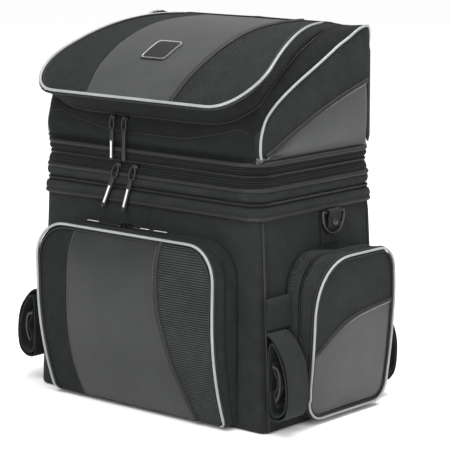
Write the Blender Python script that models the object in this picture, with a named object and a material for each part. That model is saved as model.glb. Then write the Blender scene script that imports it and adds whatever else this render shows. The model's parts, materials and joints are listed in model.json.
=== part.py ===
"""Motorcycle tail bag: main compartment, expansion band, visor-topped top case, front and side
pockets, zip sliders with pulls, D-rings, rolled mounting straps and a sissy-bar sleeve.

Metres, +Z up, -Y is the front of the bag, +X its right side seen from the front.
The origin is the centre of the base, on the surface that the bag stands on.
"""
import math

import bmesh
import bpy
from mathutils import Vector

# ---------------------------------------------------------------- driving dimensions
BAG_WIDTH = 0.380            # across the bands at the top of the main compartment
BAG_DEPTH = 0.240            # front wall to back wall
BASE_SPREAD = 0.015          # each side wall leans out this much at the floor
GAP = 0.0003                 # between pieces that touch
WALL = 0.0025                # padded fabric wall

Z_WELT_LOW = 0.277           # top of the body, under the flap band
Z_SPLIT = 0.2945             # expansion zip
Z_WELT_MID = 0.3125
Z_MAIN_ZIP = 0.330           # main compartment zip
Z_WELT_TOP = 0.345           # bottom of the top case
SPLIT_GAP = 0.0008           # between the two halves of a zip

HALF_W = BAG_WIDTH / 2
HALF_D = BAG_DEPTH / 2

# front pocket
FP_HALF_W = 0.160
FP_BOTTOM, FP_TOP = 0.008, 0.243
FP_DEPTH_LOW, FP_DEPTH = 0.016, 0.046
FP_BELLY_Z = 0.155

# side pockets
SP_Y = (-0.060, 0.108)
SP_BOTTOM, SP_TOP = 0.008, 0.218
SP_DEPTH_LOW, SP_DEPTH = 0.014, 0.040
SP_BELLY_Z = 0.120
SP_FOLD_Z = 0.100

# top case
VISOR_FRONT_Y, VISOR_BACK_Y = -0.150, 0.104
VISOR_FRONT_W, VISOR_BACK_W = 0.192, 0.125
VISOR_FRONT_Z, VISOR_RISE = 0.420, 0.0895
VISOR_CROWN = 0.010
CASE_HINGE = (0.0, 0.1245, Z_MAIN_ZIP)
VISOR_HINGE = (0.0, 0.1065, 0.5105)

WEBBING = 0.047              # mounting strap width


# ---------------------------------------------------------------- small helpers
def clear_scene():
    for item in list(bpy.data.objects):
        bpy.data.objects.remove(item, do_unlink=True)


def material(name, colour, roughness, metallic=0.0):
    mat = bpy.data.materials.new(name)
    mat.use_nodes = True
    shader = mat.node_tree.nodes["Principled BSDF"]
    shader.inputs["Base Color"].default_value = (*colour, 1.0)
    shader.inputs["Roughness"].default_value = roughness
    shader.inputs["Metallic"].default_value = metallic
    return mat


def make_object(name, verts, faces, mat, origin=(0.0, 0.0, 0.0), sharp_deg=35):
    """One closed mesh; the vertices are world points and the object's origin is at origin."""
    base = Vector(origin)
    mesh = bpy.data.meshes.new(name)
    mesh.from_pydata([tuple(Vector(v) - base) for v in verts], [], faces)
    shell = bmesh.new()
    shell.from_mesh(mesh)
    bmesh.ops.recalc_face_normals(shell, faces=shell.faces)
    shell.to_mesh(mesh)
    shell.free()
    mesh.shade_smooth()
    mesh.set_sharp_from_angle(angle=math.radians(sharp_deg))
    own = mat.copy()
    own.name = name
    mesh.materials.append(own)
    item = bpy.data.objects.new(name, mesh)
    item.location = base
    bpy.context.collection.objects.link(item)
    return item


def loft(name, loops, mat, origin=(0.0, 0.0, 0.0), ring=False):
    """Skin equal loops of points; the ends are capped, or joined to each other in a ring."""
    count = len(loops[0])
    verts = [point for loop in loops for point in loop]
    faces = []
    for row in range(len(loops) if ring else len(loops) - 1):
        low, high = row * count, ((row + 1) % len(loops)) * count
        for i in range(count):
            j = (i + 1) % count
            faces.append((low + i, low + j, high + j, high + i))
    if not ring:
        faces.append(tuple(reversed(range(count))))
        faces.append(tuple(range(len(verts) - count, len(verts))))
    return make_object(name, verts, faces, mat, origin)


def open_skin(name, loops, mat, thickness, origin=(0.0, 0.0, 0.0), cap_last=False, chain=False):
    """A lofted open surface, thickened inwards by a Solidify modifier; a chain isn't closed."""
    count = len(loops[0])
    verts = [point for loop in loops for point in loop]
    faces = []
    for row in range(len(loops) - 1):
        for i in range(count - 1 if chain else count):
            j = (i + 1) % count
            faces.append((row * count + i, row * count + j, (row + 1) * count + j, (row + 1) * count + i))
    if cap_last:
        faces.append(tuple(range(len(verts) - count, len(verts))))
    item = make_object(name, verts, faces, mat, origin)
    solid = item.modifiers.new("wall", "SOLIDIFY")
    solid.thickness = thickness
    solid.offset = -1.0
    solid.use_even_offset = True
    solid.use_rim = True
    return item


def outline(corners, segments=5):
    """Counter-clockwise (u, v) points of a polygon whose corners (u, v, radius) are rounded."""
    points = []
    count = len(corners)
    for i, (u, v, radius) in enumerate(corners):
        here = Vector((u, v))
        before = (Vector(corners[i - 1][:2]) - here).normalized()
        after = (Vector(corners[(i + 1) % count][:2]) - here).normalized()
        half = before.angle(after) / 2
        reach = radius / math.tan(half)
        centre = here + (before + after).normalized() * (radius / math.sin(half))
        start = here + before * reach - centre
        sweep = math.pi - 2 * half
        for k in range(segments + 1):
            turn = sweep * k / segments
            cos_t, sin_t = math.cos(turn), math.sin(turn)
            points.append((centre.x + start.x * cos_t - start.y * sin_t,
                           centre.y + start.x * sin_t + start.y * cos_t))
    return points


def rounded_box(half_x, half_y, radius, segments=5):
    return outline([(half_x, -half_y, radius), (half_x, half_y, radius),
                    (-half_x, half_y, radius), (-half_x, -half_y, radius)], segments)


def level_loop(half_x, half_y, radius, z, segments=5):
    return [(x, y, z) for x, y in rounded_box(half_x, half_y, radius, segments)]


def tube(name, path, radius, mat, sides=6, closed=False, origin=(0.0, 0.0, 0.0), up=(0.0, 0.0, 1.0)):
    """A round rod along a path, with frames carried along it so that it never twists."""
    points = [Vector(p) for p in path]
    count = len(points)
    loops = []
    side = Vector(up)
    for i, point in enumerate(points):
        if closed:
            along = (points[(i + 1) % count] - points[i - 1]).normalized()
        else:
            along = (points[min(i + 1, count - 1)] - points[max(i - 1, 0)]).normalized()
        side = (side - along * side.dot(along)).normalized()
        other = along.cross(side)
        loops.append([tuple(point + (side * math.cos(a) + other * math.sin(a)) * radius)
                      for a in (2 * math.pi * k / sides for k in range(sides))])
    return loft(name, loops, mat, origin, ring=closed)


def extrude_ring(name, outer, inner, place, low, high, mat, origin):
    """A band with outer and inner (u, v) outlines, between two offsets; place maps to the world."""
    loops = [[place(u, v, low) for u, v in outer], [place(u, v, high) for u, v in outer],
             [place(u, v, high) for u, v in inner], [place(u, v, low) for u, v in inner]]
    return loft(name, loops, mat, origin, ring=True)


def wall_x(z):
    """Outer face of a side wall at height z."""
    return HALF_W + BASE_SPREAD * (1 - min(z, Z_WELT_LOW) / Z_WELT_LOW)


def belly(z, low, deep, belly_z):
    """How far a pocket stands out at height z: thin at its foot and full from its belly up."""
    u = min(max(z, 0.0) / belly_z, 1.0)
    return low + (deep - low) * (1 - (1 - u) ** 2)


# ---------------------------------------------------------------- main compartment
def build_body(mats):
    levels = [(0.0034, -0.010, -0.010, 0.010), (0.0006, -0.010, -0.010, 0.010),
              (0.0006, -0.004, -0.004, 0.010), (0.0045, 0.0, 0.0, 0.012),
              (0.140, 0.0, 0.0, 0.012), (0.2752, 0.0, 0.0, 0.016),
              (0.2780, 0.0034, 0.0034, 0.020), (0.2835, 0.0042, 0.0042, 0.022),
              (0.2900, 0.0030, 0.0030, 0.022), (Z_SPLIT - SPLIT_GAP / 2, 0.0005, 0.0005, 0.020)]
    loops = [level_loop(wall_x(z) + grow_x, HALF_D + grow_y, radius, z)
             for z, grow_x, grow_y, radius in levels]
    for z, radius in ((Z_SPLIT - SPLIT_GAP / 2, 0.0105), (Z_WELT_LOW, 0.0105), (0.0034 + WALL, 0.010)):
        loops.append(level_loop(wall_x(z) - WALL, HALF_D - WALL, radius, z))
    loft("bag_shell", loops, mats["nylon"])

    pad_x, pad_y = wall_x(0) - 0.0115, HALF_D - 0.0115
    loft("base_pad", [level_loop(pad_x - 0.001, pad_y - 0.001, 0.009, 0.0, 3),
                      level_loop(pad_x, pad_y, 0.010, 0.001, 3),
                      level_loop(pad_x, pad_y, 0.010, 0.0034 - GAP, 3)], mats["rubber"])

    board_low = 0.0034 + WALL + GAP
    board_x, board_y = wall_x(0) - WALL - GAP, HALF_D - WALL - GAP
    loft("base_board", [level_loop(board_x - 0.001, board_y, 0.009, board_low, 3),
                        level_loop(board_x - 0.001, board_y, 0.009, board_low + 0.0022, 3)],
         mats["board"])

    wall_low, wall_high = board_low + 0.0022 + GAP, 0.262
    inset, sheet = WALL + GAP, 0.0014
    loft("wall_board", [
        level_loop(wall_x(wall_low) - inset, HALF_D - inset, 0.010, wall_low),
        level_loop(wall_x(wall_high) - inset, HALF_D - inset, 0.010, wall_high),
        level_loop(wall_x(wall_high) - inset - sheet, HALF_D - inset - sheet, 0.009, wall_high),
        level_loop(wall_x(wall_low) - inset - sheet, HALF_D - inset - sheet, 0.009, wall_low),
    ], mats["board"], ring=True)

    cloth = inset + sheet + GAP
    lining_low, lining_high, thin = wall_low, 0.286, 0.0010
    outside = [level_loop(wall_x(z) - cloth, HALF_D - cloth, 0.009, z)
               for z in (lining_low, Z_WELT_LOW, lining_high)]
    inside = [level_loop(wall_x(z) - cloth - thin, HALF_D - cloth - thin, 0.008, z)
              for z in (lining_high, Z_WELT_LOW, lining_low + thin)]
    loft("lining", outside + inside, mats["lining"])


def build_expansion(mats):
    low, high = Z_SPLIT + SPLIT_GAP / 2, Z_MAIN_ZIP - SPLIT_GAP / 2
    profile = [(low, 0.0005, 0.022), (0.3010, 0.0020, 0.026), (Z_WELT_MID - 0.002, 0.0030, 0.028),
               (Z_WELT_MID + 0.002, 0.0030, 0.028), (0.3200, 0.0015, 0.030), (high, 0.0010, 0.030)]
    loops = [level_loop(HALF_W + grow, HALF_D + grow, radius, z) for z, grow, radius in profile]
    for z, radius in ((high, 0.028), (low, 0.020)):
        loops.append(level_loop(HALF_W - WALL, HALF_D - WALL, radius, z))
    loft("expansion_band", loops, mats["nylon"], origin=(0.0, 0.0, Z_SPLIT), ring=True)

    inset, cloth = WALL + GAP, 0.0010
    z_low, z_high = 0.2875, 0.3015
    loft("expansion_gusset", [
        level_loop(HALF_W - inset, HALF_D - inset, 0.030, z_low),
        level_loop(HALF_W - inset, HALF_D - inset, 0.030, z_high),
        level_loop(HALF_W - inset - cloth, HALF_D - inset - cloth, 0.029, z_high),
        level_loop(HALF_W - inset - cloth, HALF_D - inset - cloth, 0.029, z_low),
    ], mats["gusset"], origin=(0.0, 0.0, z_low), ring=True)


def build_sleeve(mats):
    """Sissy-bar sleeve on the back: closed at its top, open at its foot."""
    half_x, low, high = 0.130, 0.030, 0.262
    near, far, wall = HALF_D + GAP, HALF_D + 0.0145, 0.0015

    def shell_loop(inset, z):
        return [(x, (near + far) / 2 + y, z)
                for x, y in rounded_box(half_x - inset, (far - near) / 2 - inset, 0.004, 3)]

    inner = [(x, (near + far) / 2 + y, z) for z in (high - wall, low)
             for x, y in rounded_box(half_x - wall, (far - near) / 2 - wall, 0.003, 3)]
    half = len(inner) // 2
    loft("sissy_bar_sleeve", [inner[:half], inner[half:], shell_loop(0.0, low),
                              shell_loop(0.0, high - 0.002), shell_loop(0.002, high)],
         mats["nylon"])


# ---------------------------------------------------------------- pockets
def front_depth(z):
    fall = max(z - 0.190, 0.0) / (FP_TOP - 0.190)
    return belly(z, FP_DEPTH_LOW, FP_DEPTH, FP_BELLY_Z) - 0.006 * fall ** 2


def front_outline(inset, half_low=0.0, segments=5):
    """Front pocket outline in (x, z); half_low narrows its foot."""
    low, high = FP_BOTTOM + inset, FP_TOP - inset
    foot, top = FP_HALF_W - half_low - inset, FP_HALF_W - 0.001 - inset
    return outline([(-foot, low, 0.020 - inset), (foot, low, 0.020 - inset),
                    (top, high, 0.048 - inset), (-top, high, 0.048 - inset)], segments)


def build_front_pocket(mats):
    base = -HALF_D - GAP

    def place(points, share, extra=0.0):
        return [(x, base - front_depth(z) * share - extra, z) for x, z in points]

    wall = 0.002
    rim = 0.50
    body_out, body_in = front_outline(0.0), front_outline(wall)
    flat = [[(x, base, z) for x, z in body_out], place(body_out, rim),
            place(body_in, rim), [(x, base, z) for x, z in body_in]]
    loft("front_pocket_body", flat, mats["nylon"], ring=True)

    hinge = (0.0, base - front_depth(FP_BOTTOM) * rim - SPLIT_GAP / 2, FP_BOTTOM)
    face_out = front_outline(0.0015, 0.008)
    gusset = front_outline(0.0, 0.002)
    loops = [place(gusset, rim, 2 * SPLIT_GAP), place(face_out, 0.94)]
    centre = (0.0, 0.135)
    for scale, crown in ((0.93, 0.0015), (0.62, 0.005), (0.25, 0.007)):
        ring = [(centre[0] + (x - centre[0]) * scale, centre[1] + (z - centre[1]) * scale)
                for x, z in face_out]
        loops.append([(x, base - front_depth(z) * 0.97 - crown, z) for x, z in ring])
    open_skin("front_pocket_flap", loops, mats["nylon"], wall, origin=hinge, cap_last=True)

    trim = front_outline(-0.0009, 0.009, 4)
    path = [(x, base - front_depth(z) * 0.95 - 0.0016, z) for x, z in trim]
    tube("front_pocket_piping", path, 0.0020, mats["piping"], sides=5, closed=True,
         origin=hinge, up=(0.0, -1.0, 0.0))


def side_depth(z):
    return belly(z, SP_DEPTH_LOW, SP_DEPTH, SP_BELLY_Z)


def side_outline(inset, segments=4):
    """Side pocket outline in (y, z), its front upper corner well rounded."""
    foot, low = 0.024 - inset, SP_BOTTOM + inset
    return outline([(SP_Y[0] + inset, low, foot), (SP_Y[1] - inset, low, foot),
                    (SP_Y[1] - inset, SP_TOP - inset, 0.026 - inset),
                    (SP_Y[0] + inset, SP_TOP - inset, 0.048 - inset)], segments)


def fold_chain(upper):
    """The side pocket outline above or below its fold line, from one end of the fold to the other."""
    full = side_outline(0.0)
    half = len(full) // 2
    fold = SP_FOLD_Z + (SPLIT_GAP / 2 if upper else -SPLIT_GAP / 2)
    if upper:
        return [(SP_Y[1], fold)] + full[half:] + [(SP_Y[0], fold)]
    return [(SP_Y[0], fold)] + full[:half] + [(SP_Y[1], fold)]


def build_side_pocket(side, tag, mats):
    """side is +1 on the right and -1 on the left; the face is a fixed bib with a hinged flap over it."""
    wall, rim = 0.002, 0.50

    def place(points, share, extra=0.0):
        return [(side * (wall_x(z) + GAP + side_depth(z) * share + extra), y, z) for y, z in points]

    # the body: inner half of the gusset all round, and the lower half of the face as a bib
    out, inner = side_outline(0.0), side_outline(wall)
    loft(tag + "_pocket_body",
         [place(out, 0.0), place(out, rim), place(inner, rim), place(inner, 0.0)],
         mats["nylon"], ring=True)

    hinge = (side * (wall_x(SP_FOLD_Z) + GAP + SP_DEPTH * 1.02 + 0.001), 0.0, SP_FOLD_Z)
    middle = sum(SP_Y) / 2
    for kind, upper, extra, origin in (("_pocket_bib", False, GAP, (0.0, 0.0, 0.0)),
                                       ("_pocket_flap", True, SPLIT_GAP, hinge)):
        chain = fold_chain(upper)
        rows = []
        for share, shrink in ((rim, 0.0), (0.94, 0.0), (0.99, 0.03), (1.0, 0.35)):
            rows.append(place([(y + (middle - y) * shrink, z + (chain[0][1] - z) * shrink)
                               for y, z in chain], share, extra))
        open_skin(tag + kind, rows, mats["nylon"], wall, origin=origin, cap_last=True, chain=True)


# ---------------------------------------------------------------- top case
def visor_edge_z(y):
    """Height of the visor's edge: steep at the front and flat at the back."""
    u = (y - VISOR_FRONT_Y) / 0.25
    return VISOR_FRONT_Z + VISOR_RISE * (1 - max(1 - u, 0.0) ** 3.35)


def ring_stations():
    """(part, share) pairs round the top case: front, right, back, left, counter-clockwise."""
    front, side, back = 9, 9, 4
    stations = []
    stations += [("front", -1 + 2 * i / front) for i in range(front + 1)]
    stations += [("right", (i + 1) / (side + 1)) for i in range(side)]
    stations += [("back", 1 - 2 * i / back) for i in range(back + 1)]
    stations += [("left", 1 - (i + 1) / (side + 1)) for i in range(side)]
    return stations


def ring_loop(front_at, side_at, back_at):
    """Loop of points from three curves; side_at is given for the right and mirrored."""
    loop = []
    for part, share in ring_stations():
        if part == "front":
            loop.append(front_at(share))
        elif part == "back":
            loop.append(back_at(share))
        elif part == "right":
            loop.append(side_at(share))
        else:
            x, y, z = side_at(share)
            loop.append((-x, y, z))
    return loop


def case_base(z, grow):
    half_x, half_y = 0.1880 + grow, 0.1180 + grow
    corner = 0.010
    return ring_loop(
        lambda s: (s * (half_x - corner * 0.3), -half_y + corner * 0.3 * abs(s) ** 8, z),
        lambda s: (half_x, -half_y + corner * 1.2 + s * (2 * half_y - corner * 2.4), z),
        lambda s: (s * (half_x - corner * 0.3), half_y - corner * 0.3 * abs(s) ** 8, z))


def shoulder_z(y):
    """Height of the side panel's upper edge: a quick rise at the front, then a straight slope."""
    return 0.398 + 0.014 * (1 - math.exp(-(y + 0.110) / 0.010)) + 0.455 * (y + 0.110)


def case_shoulder():
    return ring_loop(
        lambda s: (s * 0.1845, -0.1135 + 0.004 * s ** 8, 0.370 + 0.027 * s ** 4),
        lambda s: (0.1860, -0.107 + s * 0.215, min(shoulder_z(-0.107 + s * 0.215), 0.505)),
        lambda s: (s * 0.1825, 0.1220, 0.4985))


def zip_ring(forward=0.0):
    """The visor zip: level across the front and climbing to the hinge line, set forward there."""
    def side(s):
        y = -0.100 + 0.200 * s
        rise = 1 - (1 - s) ** 1.9
        return (0.1805 - 0.028 * s, y, 0.4185 + 0.0865 * rise)
    return ring_loop(
        lambda s: (s * 0.1765, -0.1195 + 0.012 * abs(s) ** 10, 0.3915 + 0.024 * abs(s) ** 7),
        side,
        lambda s: (s * 0.1500, VISOR_HINGE[1] + 0.0010 - forward, 0.5050))


def visor_loop(scale):
    """Visor outline scaled towards its middle and lifted onto the crowned top surface."""
    mid_y = -0.010
    slope = (VISOR_BACK_W - VISOR_FRONT_W) / (VISOR_BACK_Y - VISOR_FRONT_Y)
    round_front = 0.034

    def half_width(y):
        plain = VISOR_FRONT_W + slope * (y - VISOR_FRONT_Y)
        near = min((y - VISOR_FRONT_Y) / round_front, 1.0)
        return plain - round_front * (1 - math.sqrt(1 - (1 - near) ** 2))

    def lift(x, y):
        x, y = x * scale, mid_y + (y - mid_y) * scale
        reach = max(half_width(max(y, VISOR_FRONT_Y)), 0.05)
        fade = 1 - min(max((y + 0.06) / 0.12, 0.0), 1.0)
        crown = VISOR_CROWN * (0.15 + 0.85 * fade) * max(1 - (x / reach) ** 2, 0.0)
        start = min((y - VISOR_FRONT_Y) / 0.03, 1.0)
        return (x, y, visor_edge_z(y) + crown * start)

    def front(s):
        angle = abs(s) ** 4 * 0.80
        y = VISOR_FRONT_Y + round_front * (1 - math.cos(angle * math.pi / 2)) * 0.9
        return lift(s * 0.171, y)

    def side(s):
        y = -0.128 + 0.226 * s
        return lift(half_width(y), y)

    return ring_loop(front, side, lambda s: lift(s * 0.1235, VISOR_BACK_Y))


def build_top_case(mats):
    band_low = Z_MAIN_ZIP + SPLIT_GAP / 2
    profile = [(band_low, 0.0010, 0.030), (0.3365, 0.0022, 0.032), (0.3415, 0.0028, 0.034),
               (Z_WELT_TOP, 0.0022, 0.034)]
    loops = [level_loop(HALF_W + grow, HALF_D + grow, radius, z) for z, grow, radius in profile]
    loops.append(level_loop(HALF_W - 0.001, HALF_D - 0.001, 0.033, Z_WELT_TOP + 0.0010))
    for z, radius in ((Z_WELT_TOP + 0.0010, 0.029), (band_low, 0.029)):
        loops.append(level_loop(HALF_W - 0.0045, HALF_D - 0.0045, radius, z))
    loft("case_band", loops, mats["nylon"], origin=CASE_HINGE, ring=True)

    floor_x, floor_y = HALF_W - 0.0045 - GAP, HALF_D - 0.0045 - GAP
    loft("case_floor", [level_loop(floor_x, floor_y, 0.030, 0.3335),
                        level_loop(floor_x, floor_y, 0.030, 0.3362)], mats["board"],
         origin=CASE_HINGE)

    wall_low = Z_WELT_TOP + 0.0020
    loops = [case_base(wall_low, 0.0), case_base(0.3600, -0.0015), case_shoulder(), zip_ring()]
    open_skin("case_shell", loops, mats["nylon"], WALL, origin=CASE_HINGE)

    rim = []
    for low, high in zip(zip_ring(0.0030), visor_loop(1.0)):
        skirt = (Vector(high) - Vector(low)).normalized() * 0.0014
        rim.append(tuple(Vector(low) + skirt))
    rows = [rim] + [visor_loop(scale) for scale in (1.0, 0.93, 0.70, 0.42, 0.16)]
    open_skin("visor_lid", rows, mats["nylon"], WALL, origin=VISOR_HINGE, cap_last=True)

    edge = []
    for x, y, z in visor_loop(1.0):
        share = min(max((y - VISOR_FRONT_Y) / 0.12, 0.0), 1.0)
        out = Vector((x, (y + 0.01) * 1.2, 0.0)).normalized() * (0.0030 - 0.0008 * share)
        edge.append((x + out.x, min(y + out.y, VISOR_BACK_Y), z + 0.0026 * share))
    back = [p for p in edge if p[1] > VISOR_BACK_Y - 0.0012]
    start = edge.index(back[0])
    path = [p for p in edge[start:] + edge[:start] if p not in back]
    tube("visor_piping", path, 0.0022, mats["piping"], sides=5, origin=VISOR_HINGE)


def build_badge(mats):
    """Plain round-cornered plate near the front of the top panel, lying on its slope."""
    mid_y = -0.083
    tilt = math.atan2(visor_edge_z(mid_y + 0.02) - visor_edge_z(mid_y - 0.02), 0.04)
    normal = Vector((0.0, -math.sin(tilt), math.cos(tilt)))
    uphill = Vector((0.0, math.cos(tilt), math.sin(tilt)))
    centre = Vector((0.0, mid_y, visor_edge_z(mid_y) + VISOR_CROWN + 0.0008))
    loops = []
    for height, grow in ((0.0, 0.0), (0.0014, 0.0), (0.0022, -0.0010)):
        shape = outline([(-0.017 - grow, -0.013 - grow, 0.004), (0.017 + grow, -0.013 - grow, 0.004),
                         (0.017 + grow, 0.013 + grow, 0.004), (-0.017 - grow, 0.013 + grow, 0.004)], 3)
        loops.append([tuple(centre + Vector((1, 0, 0)) * u + uphill * v + normal * height)
                      for u, v in shape])
    loft("badge", loops, mats["zinc"], origin=VISOR_HINGE)


# ---------------------------------------------------------------- zip sliders and pulls
def block(name, centre, size, mat, origin, chamfer=0.0008):
    """A small chamfered block; size is its full x, y, z."""
    cx, cy, cz = centre
    hx, hy, hz = (s / 2 for s in size)
    loops = []
    for dz, inset in ((-hz, chamfer), (-hz + chamfer, 0.0), (hz - chamfer, 0.0), (hz, chamfer)):
        ring = outline([(hx - inset, -hy + inset, chamfer), (hx - inset, hy - inset, chamfer),
                        (-hx + inset, hy - inset, chamfer), (-hx + inset, -hy + inset, chamfer)], 1)
        loops.append([(cx + x, cy + y, cz + dz) for x, y in ring])
    return loft(name, loops, mat, origin)


def pull(name, top, direction, face, length, mats, width=0.0075, thick=0.0018):
    """A zip pull: an eye at the top, a waist, and a flat cord tab; face is its flat side's normal."""
    top, down, out = Vector(top), Vector(direction).normalized(), Vector(face).normalized()
    across = down.cross(out).normalized()
    stations = [(0.0, 0.0020, 0.8), (0.10, 0.0030, 1.0), (0.24, 0.0040, 1.0), (0.30, 0.0022, 1.0),
                (0.36, width / 2, 1.0), (0.96, width / 2, 1.0), (1.0, width / 2 - 0.001, 0.8)]
    loops = []
    for share, half, flat in stations:
        point = top + down * (length * share)
        half_thick = thick / 2 * flat
        loops.append([tuple(point + across * a + out * b) for a, b in
                      ((half, half_thick), (-half, half_thick), (-half, -half_thick), (half, -half_thick))])
    return loft(name, loops, mats["cord"], tuple(top))


def build_sliders(mats):
    metal = mats["zinc"]
    # top case zip: two sliders under the visor, pulls hanging down the front
    for tag, x in (("left", -0.054), ("right", -0.032)):
        block("visor_slider_" + tag, (x, -0.1228, 0.3870), (0.0088, 0.0042, 0.0070), metal,
              (x, -0.1228, 0.3870))
        pull("visor_pull_" + tag, (x, -0.1262, 0.3890), (0, 0, -1), (0, -1, 0), 0.0590, mats)
    # main zip: its pulls lean to the left as they hang
    for tag, x, lean in (("left", -0.043, -0.030), ("right", -0.013, -0.022)):
        block("main_slider_" + tag, (x, -0.1240, 0.3250), (0.0088, 0.0040, 0.0066), metal,
              (x, -0.1240, 0.3250))
        pull("main_pull_" + tag, (x, -0.1273, 0.3265), (lean, 0, -0.064), (0, -1, 0), 0.0680, mats)
    # front pocket zip: pulls lie along the top of the pocket
    y = -HALF_D - 0.0135
    for tag, x, way in (("left", -0.0275, -1), ("right", -0.0165, 1)):
        z = FP_TOP + GAP + 0.0024
        block("pocket_slider_" + tag, (x, y, z), (0.0085, 0.0068, 0.0048), metal, (x, y, z))
        pull("pocket_pull_" + tag, (x + way * 0.0058, y, z - 0.0008), (way, 0, 0), (0, 0, 1),
             0.0640, mats)
    # side pocket zips: one slider each, on the front of the gusset
    for side, tag in ((1, "right"), (-1, "left")):
        z = 0.1180
        x = side * (wall_x(z) + side_depth(z) * 0.47)
        block(tag + "_side_slider", (x, SP_Y[0] - GAP - 0.0024, z), (0.0066, 0.0048, 0.0085), metal,
              (x, SP_Y[0] - GAP - 0.0024, z))
        pull(tag + "_side_pull", (x, SP_Y[0] - GAP - 0.0060, z + 0.001), (0, 0, -1), (0, -1, 0),
             0.0270, mats, width=0.005)
    # expansion zip: one slider on the back
    x, y = -0.140, HALF_D + 0.0036
    block("expansion_slider", (x, y + 0.0027, 0.2900), (0.0088, 0.0046, 0.0066), metal,
          (x, y + 0.0027, 0.2900))
    pull("expansion_pull", (x, y + 0.0064, 0.2915), (0, 0, -1), (0, 1, 0), 0.0250, mats, width=0.005)


# ---------------------------------------------------------------- D-rings and mounting straps
RING_Y, RING_Z = 0.027, 0.2700        # middle of a D-ring's straight bar
RING_HALF, RING_WIRE = 0.0215, 0.0019


def build_ring(side, tag, mats):
    bar_x = wall_x(RING_Z) + 0.0067
    pivot = (side * bar_x, RING_Y, RING_Z)

    def place(u, v, offset):
        return (side * (wall_x(v) + u), RING_Y + offset, v)

    # the tab: a strip down the wall that loops over the bar and comes down in front of it
    strip, back, front = 0.0018, 0.0012, 0.0118
    top = RING_Z + 0.0042
    outer = [(back, 0.2290), (back + strip, 0.2290), (back + strip, RING_Z - 0.004),
             (back + strip, RING_Z + 0.0005), (0.0048, top - strip), (front - strip - 0.0016, top - strip),
             (front - strip, RING_Z + 0.0005), (front - strip - 0.0034, RING_Z - 0.0060),
             (front - strip - 0.0034, 0.2500), (front - 0.0034, 0.2500), (front - 0.0034, RING_Z - 0.0070),
             (front, RING_Z), (front - 0.0020, top), (0.0040, top), (back, RING_Z + 0.0010)]
    half = 0.0125
    loft(tag + "_ring_tab", [[place(u, v, -half) for u, v in outer],
                             [place(u, v, half) for u, v in outer]], mats["webbing"])

    path = [(0.0, -RING_HALF), (0.0, -RING_HALF * 0.5), (0.0, 0.0), (0.0, RING_HALF * 0.5),
            (0.0, RING_HALF)]
    for k in range(1, 10):
        turn = math.pi * k / 10
        path.append((-0.0070 - RING_HALF * math.sin(turn), RING_HALF * math.cos(turn)))
    tube(tag + "_d_ring", [(side * bar_x, RING_Y + u, RING_Z + v) for v, u in path],
         RING_WIRE, mats["zinc"], sides=6, closed=True, origin=pivot, up=(1.0, 0.0, 0.0))

    face = wall_x(0.2510) + front - 0.0034 + GAP
    loops = []
    for out, radius in ((0.0, 0.0045), (0.0010, 0.0043), (0.0019, 0.0026)):
        loops.append([(side * (face + out), RING_Y + radius * math.cos(a), 0.2560 + radius * math.sin(a))
                      for a in (2 * math.pi * k / 12 for k in range(12))])
    loft(tag + "_rivet", loops, mats["zinc"])


def build_strap(tag, to_world, mats):
    """An anchor patch, the rolled strap that hangs from it and its buckle.

    to_world maps (out, across, z): out from the wall, across along the wall, z up.
    """
    half, top, foot = WEBBING / 2, 0.1760, 0.1360
    anchor = outline([(0.0006, foot, 0.0005), (0.0040, foot, 0.0010), (0.0044, top - 0.004, 0.0010),
                      (0.0030, top, 0.0010), (0.0006, top, 0.0005)], 1)
    loft("strap_anchor_" + tag, [[to_world(u, -half, v) for u, v in anchor],
                                 [to_world(u, half, v) for u, v in anchor]], mats["webbing"])

    pivot = to_world(0.0030, 0.0, foot - 0.0010)
    outer = outline([(0.0080, 0.0200, 0.0070), (0.0410, 0.0260, 0.0180), (0.0400, 0.0900, 0.0300),
                     (0.0110, 0.1345, 0.0050), (0.0020, 0.1345, 0.0010)], 4)
    inner = outline([(0.0125, 0.0260, 0.0050), (0.0360, 0.0310, 0.0140), (0.0355, 0.0890, 0.0260),
                     (0.0130, 0.1240, 0.0030), (0.0085, 0.1200, 0.0010)], 4)
    extrude_ring("strap_roll_" + tag, outer, inner, lambda u, v, w: to_world(u, w, v),
                 -half, half, mats["webbing"], pivot)

    shape = outline([(0.0134, 0.0420, 0.0010), (0.0250, 0.0420, 0.0020), (0.0290, 0.0700, 0.0020),
                     (0.0250, 0.0980, 0.0020), (0.0134, 0.0980, 0.0010)], 1)
    width = half - 0.0060
    loft("strap_buckle_" + tag, [[to_world(u, -width + 0.0015, v) for u, v in shape],
                                 [to_world(u, width - 0.0015, v) for u, v in shape]],
         mats["buckle"], pivot)


def build_straps(mats):
    front_y = -HALF_D + 0.0030 + WEBBING / 2
    back_x = HALF_W - 0.0320
    for side, tag in ((1, "right"), (-1, "left")):
        def on_side(out, across, z, side=side):
            return (side * (wall_x(0.060) + out - 0.055 * max(z - 0.136, 0.0)), front_y + across, z)

        def on_back(out, across, z, side=side):
            return (side * (back_x + 0.021 + across * 0.98 - 0.0150), HALF_D + out, z)
        build_strap("front_" + tag, on_side, mats)
        build_strap("rear_" + tag, on_back, mats)


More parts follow.
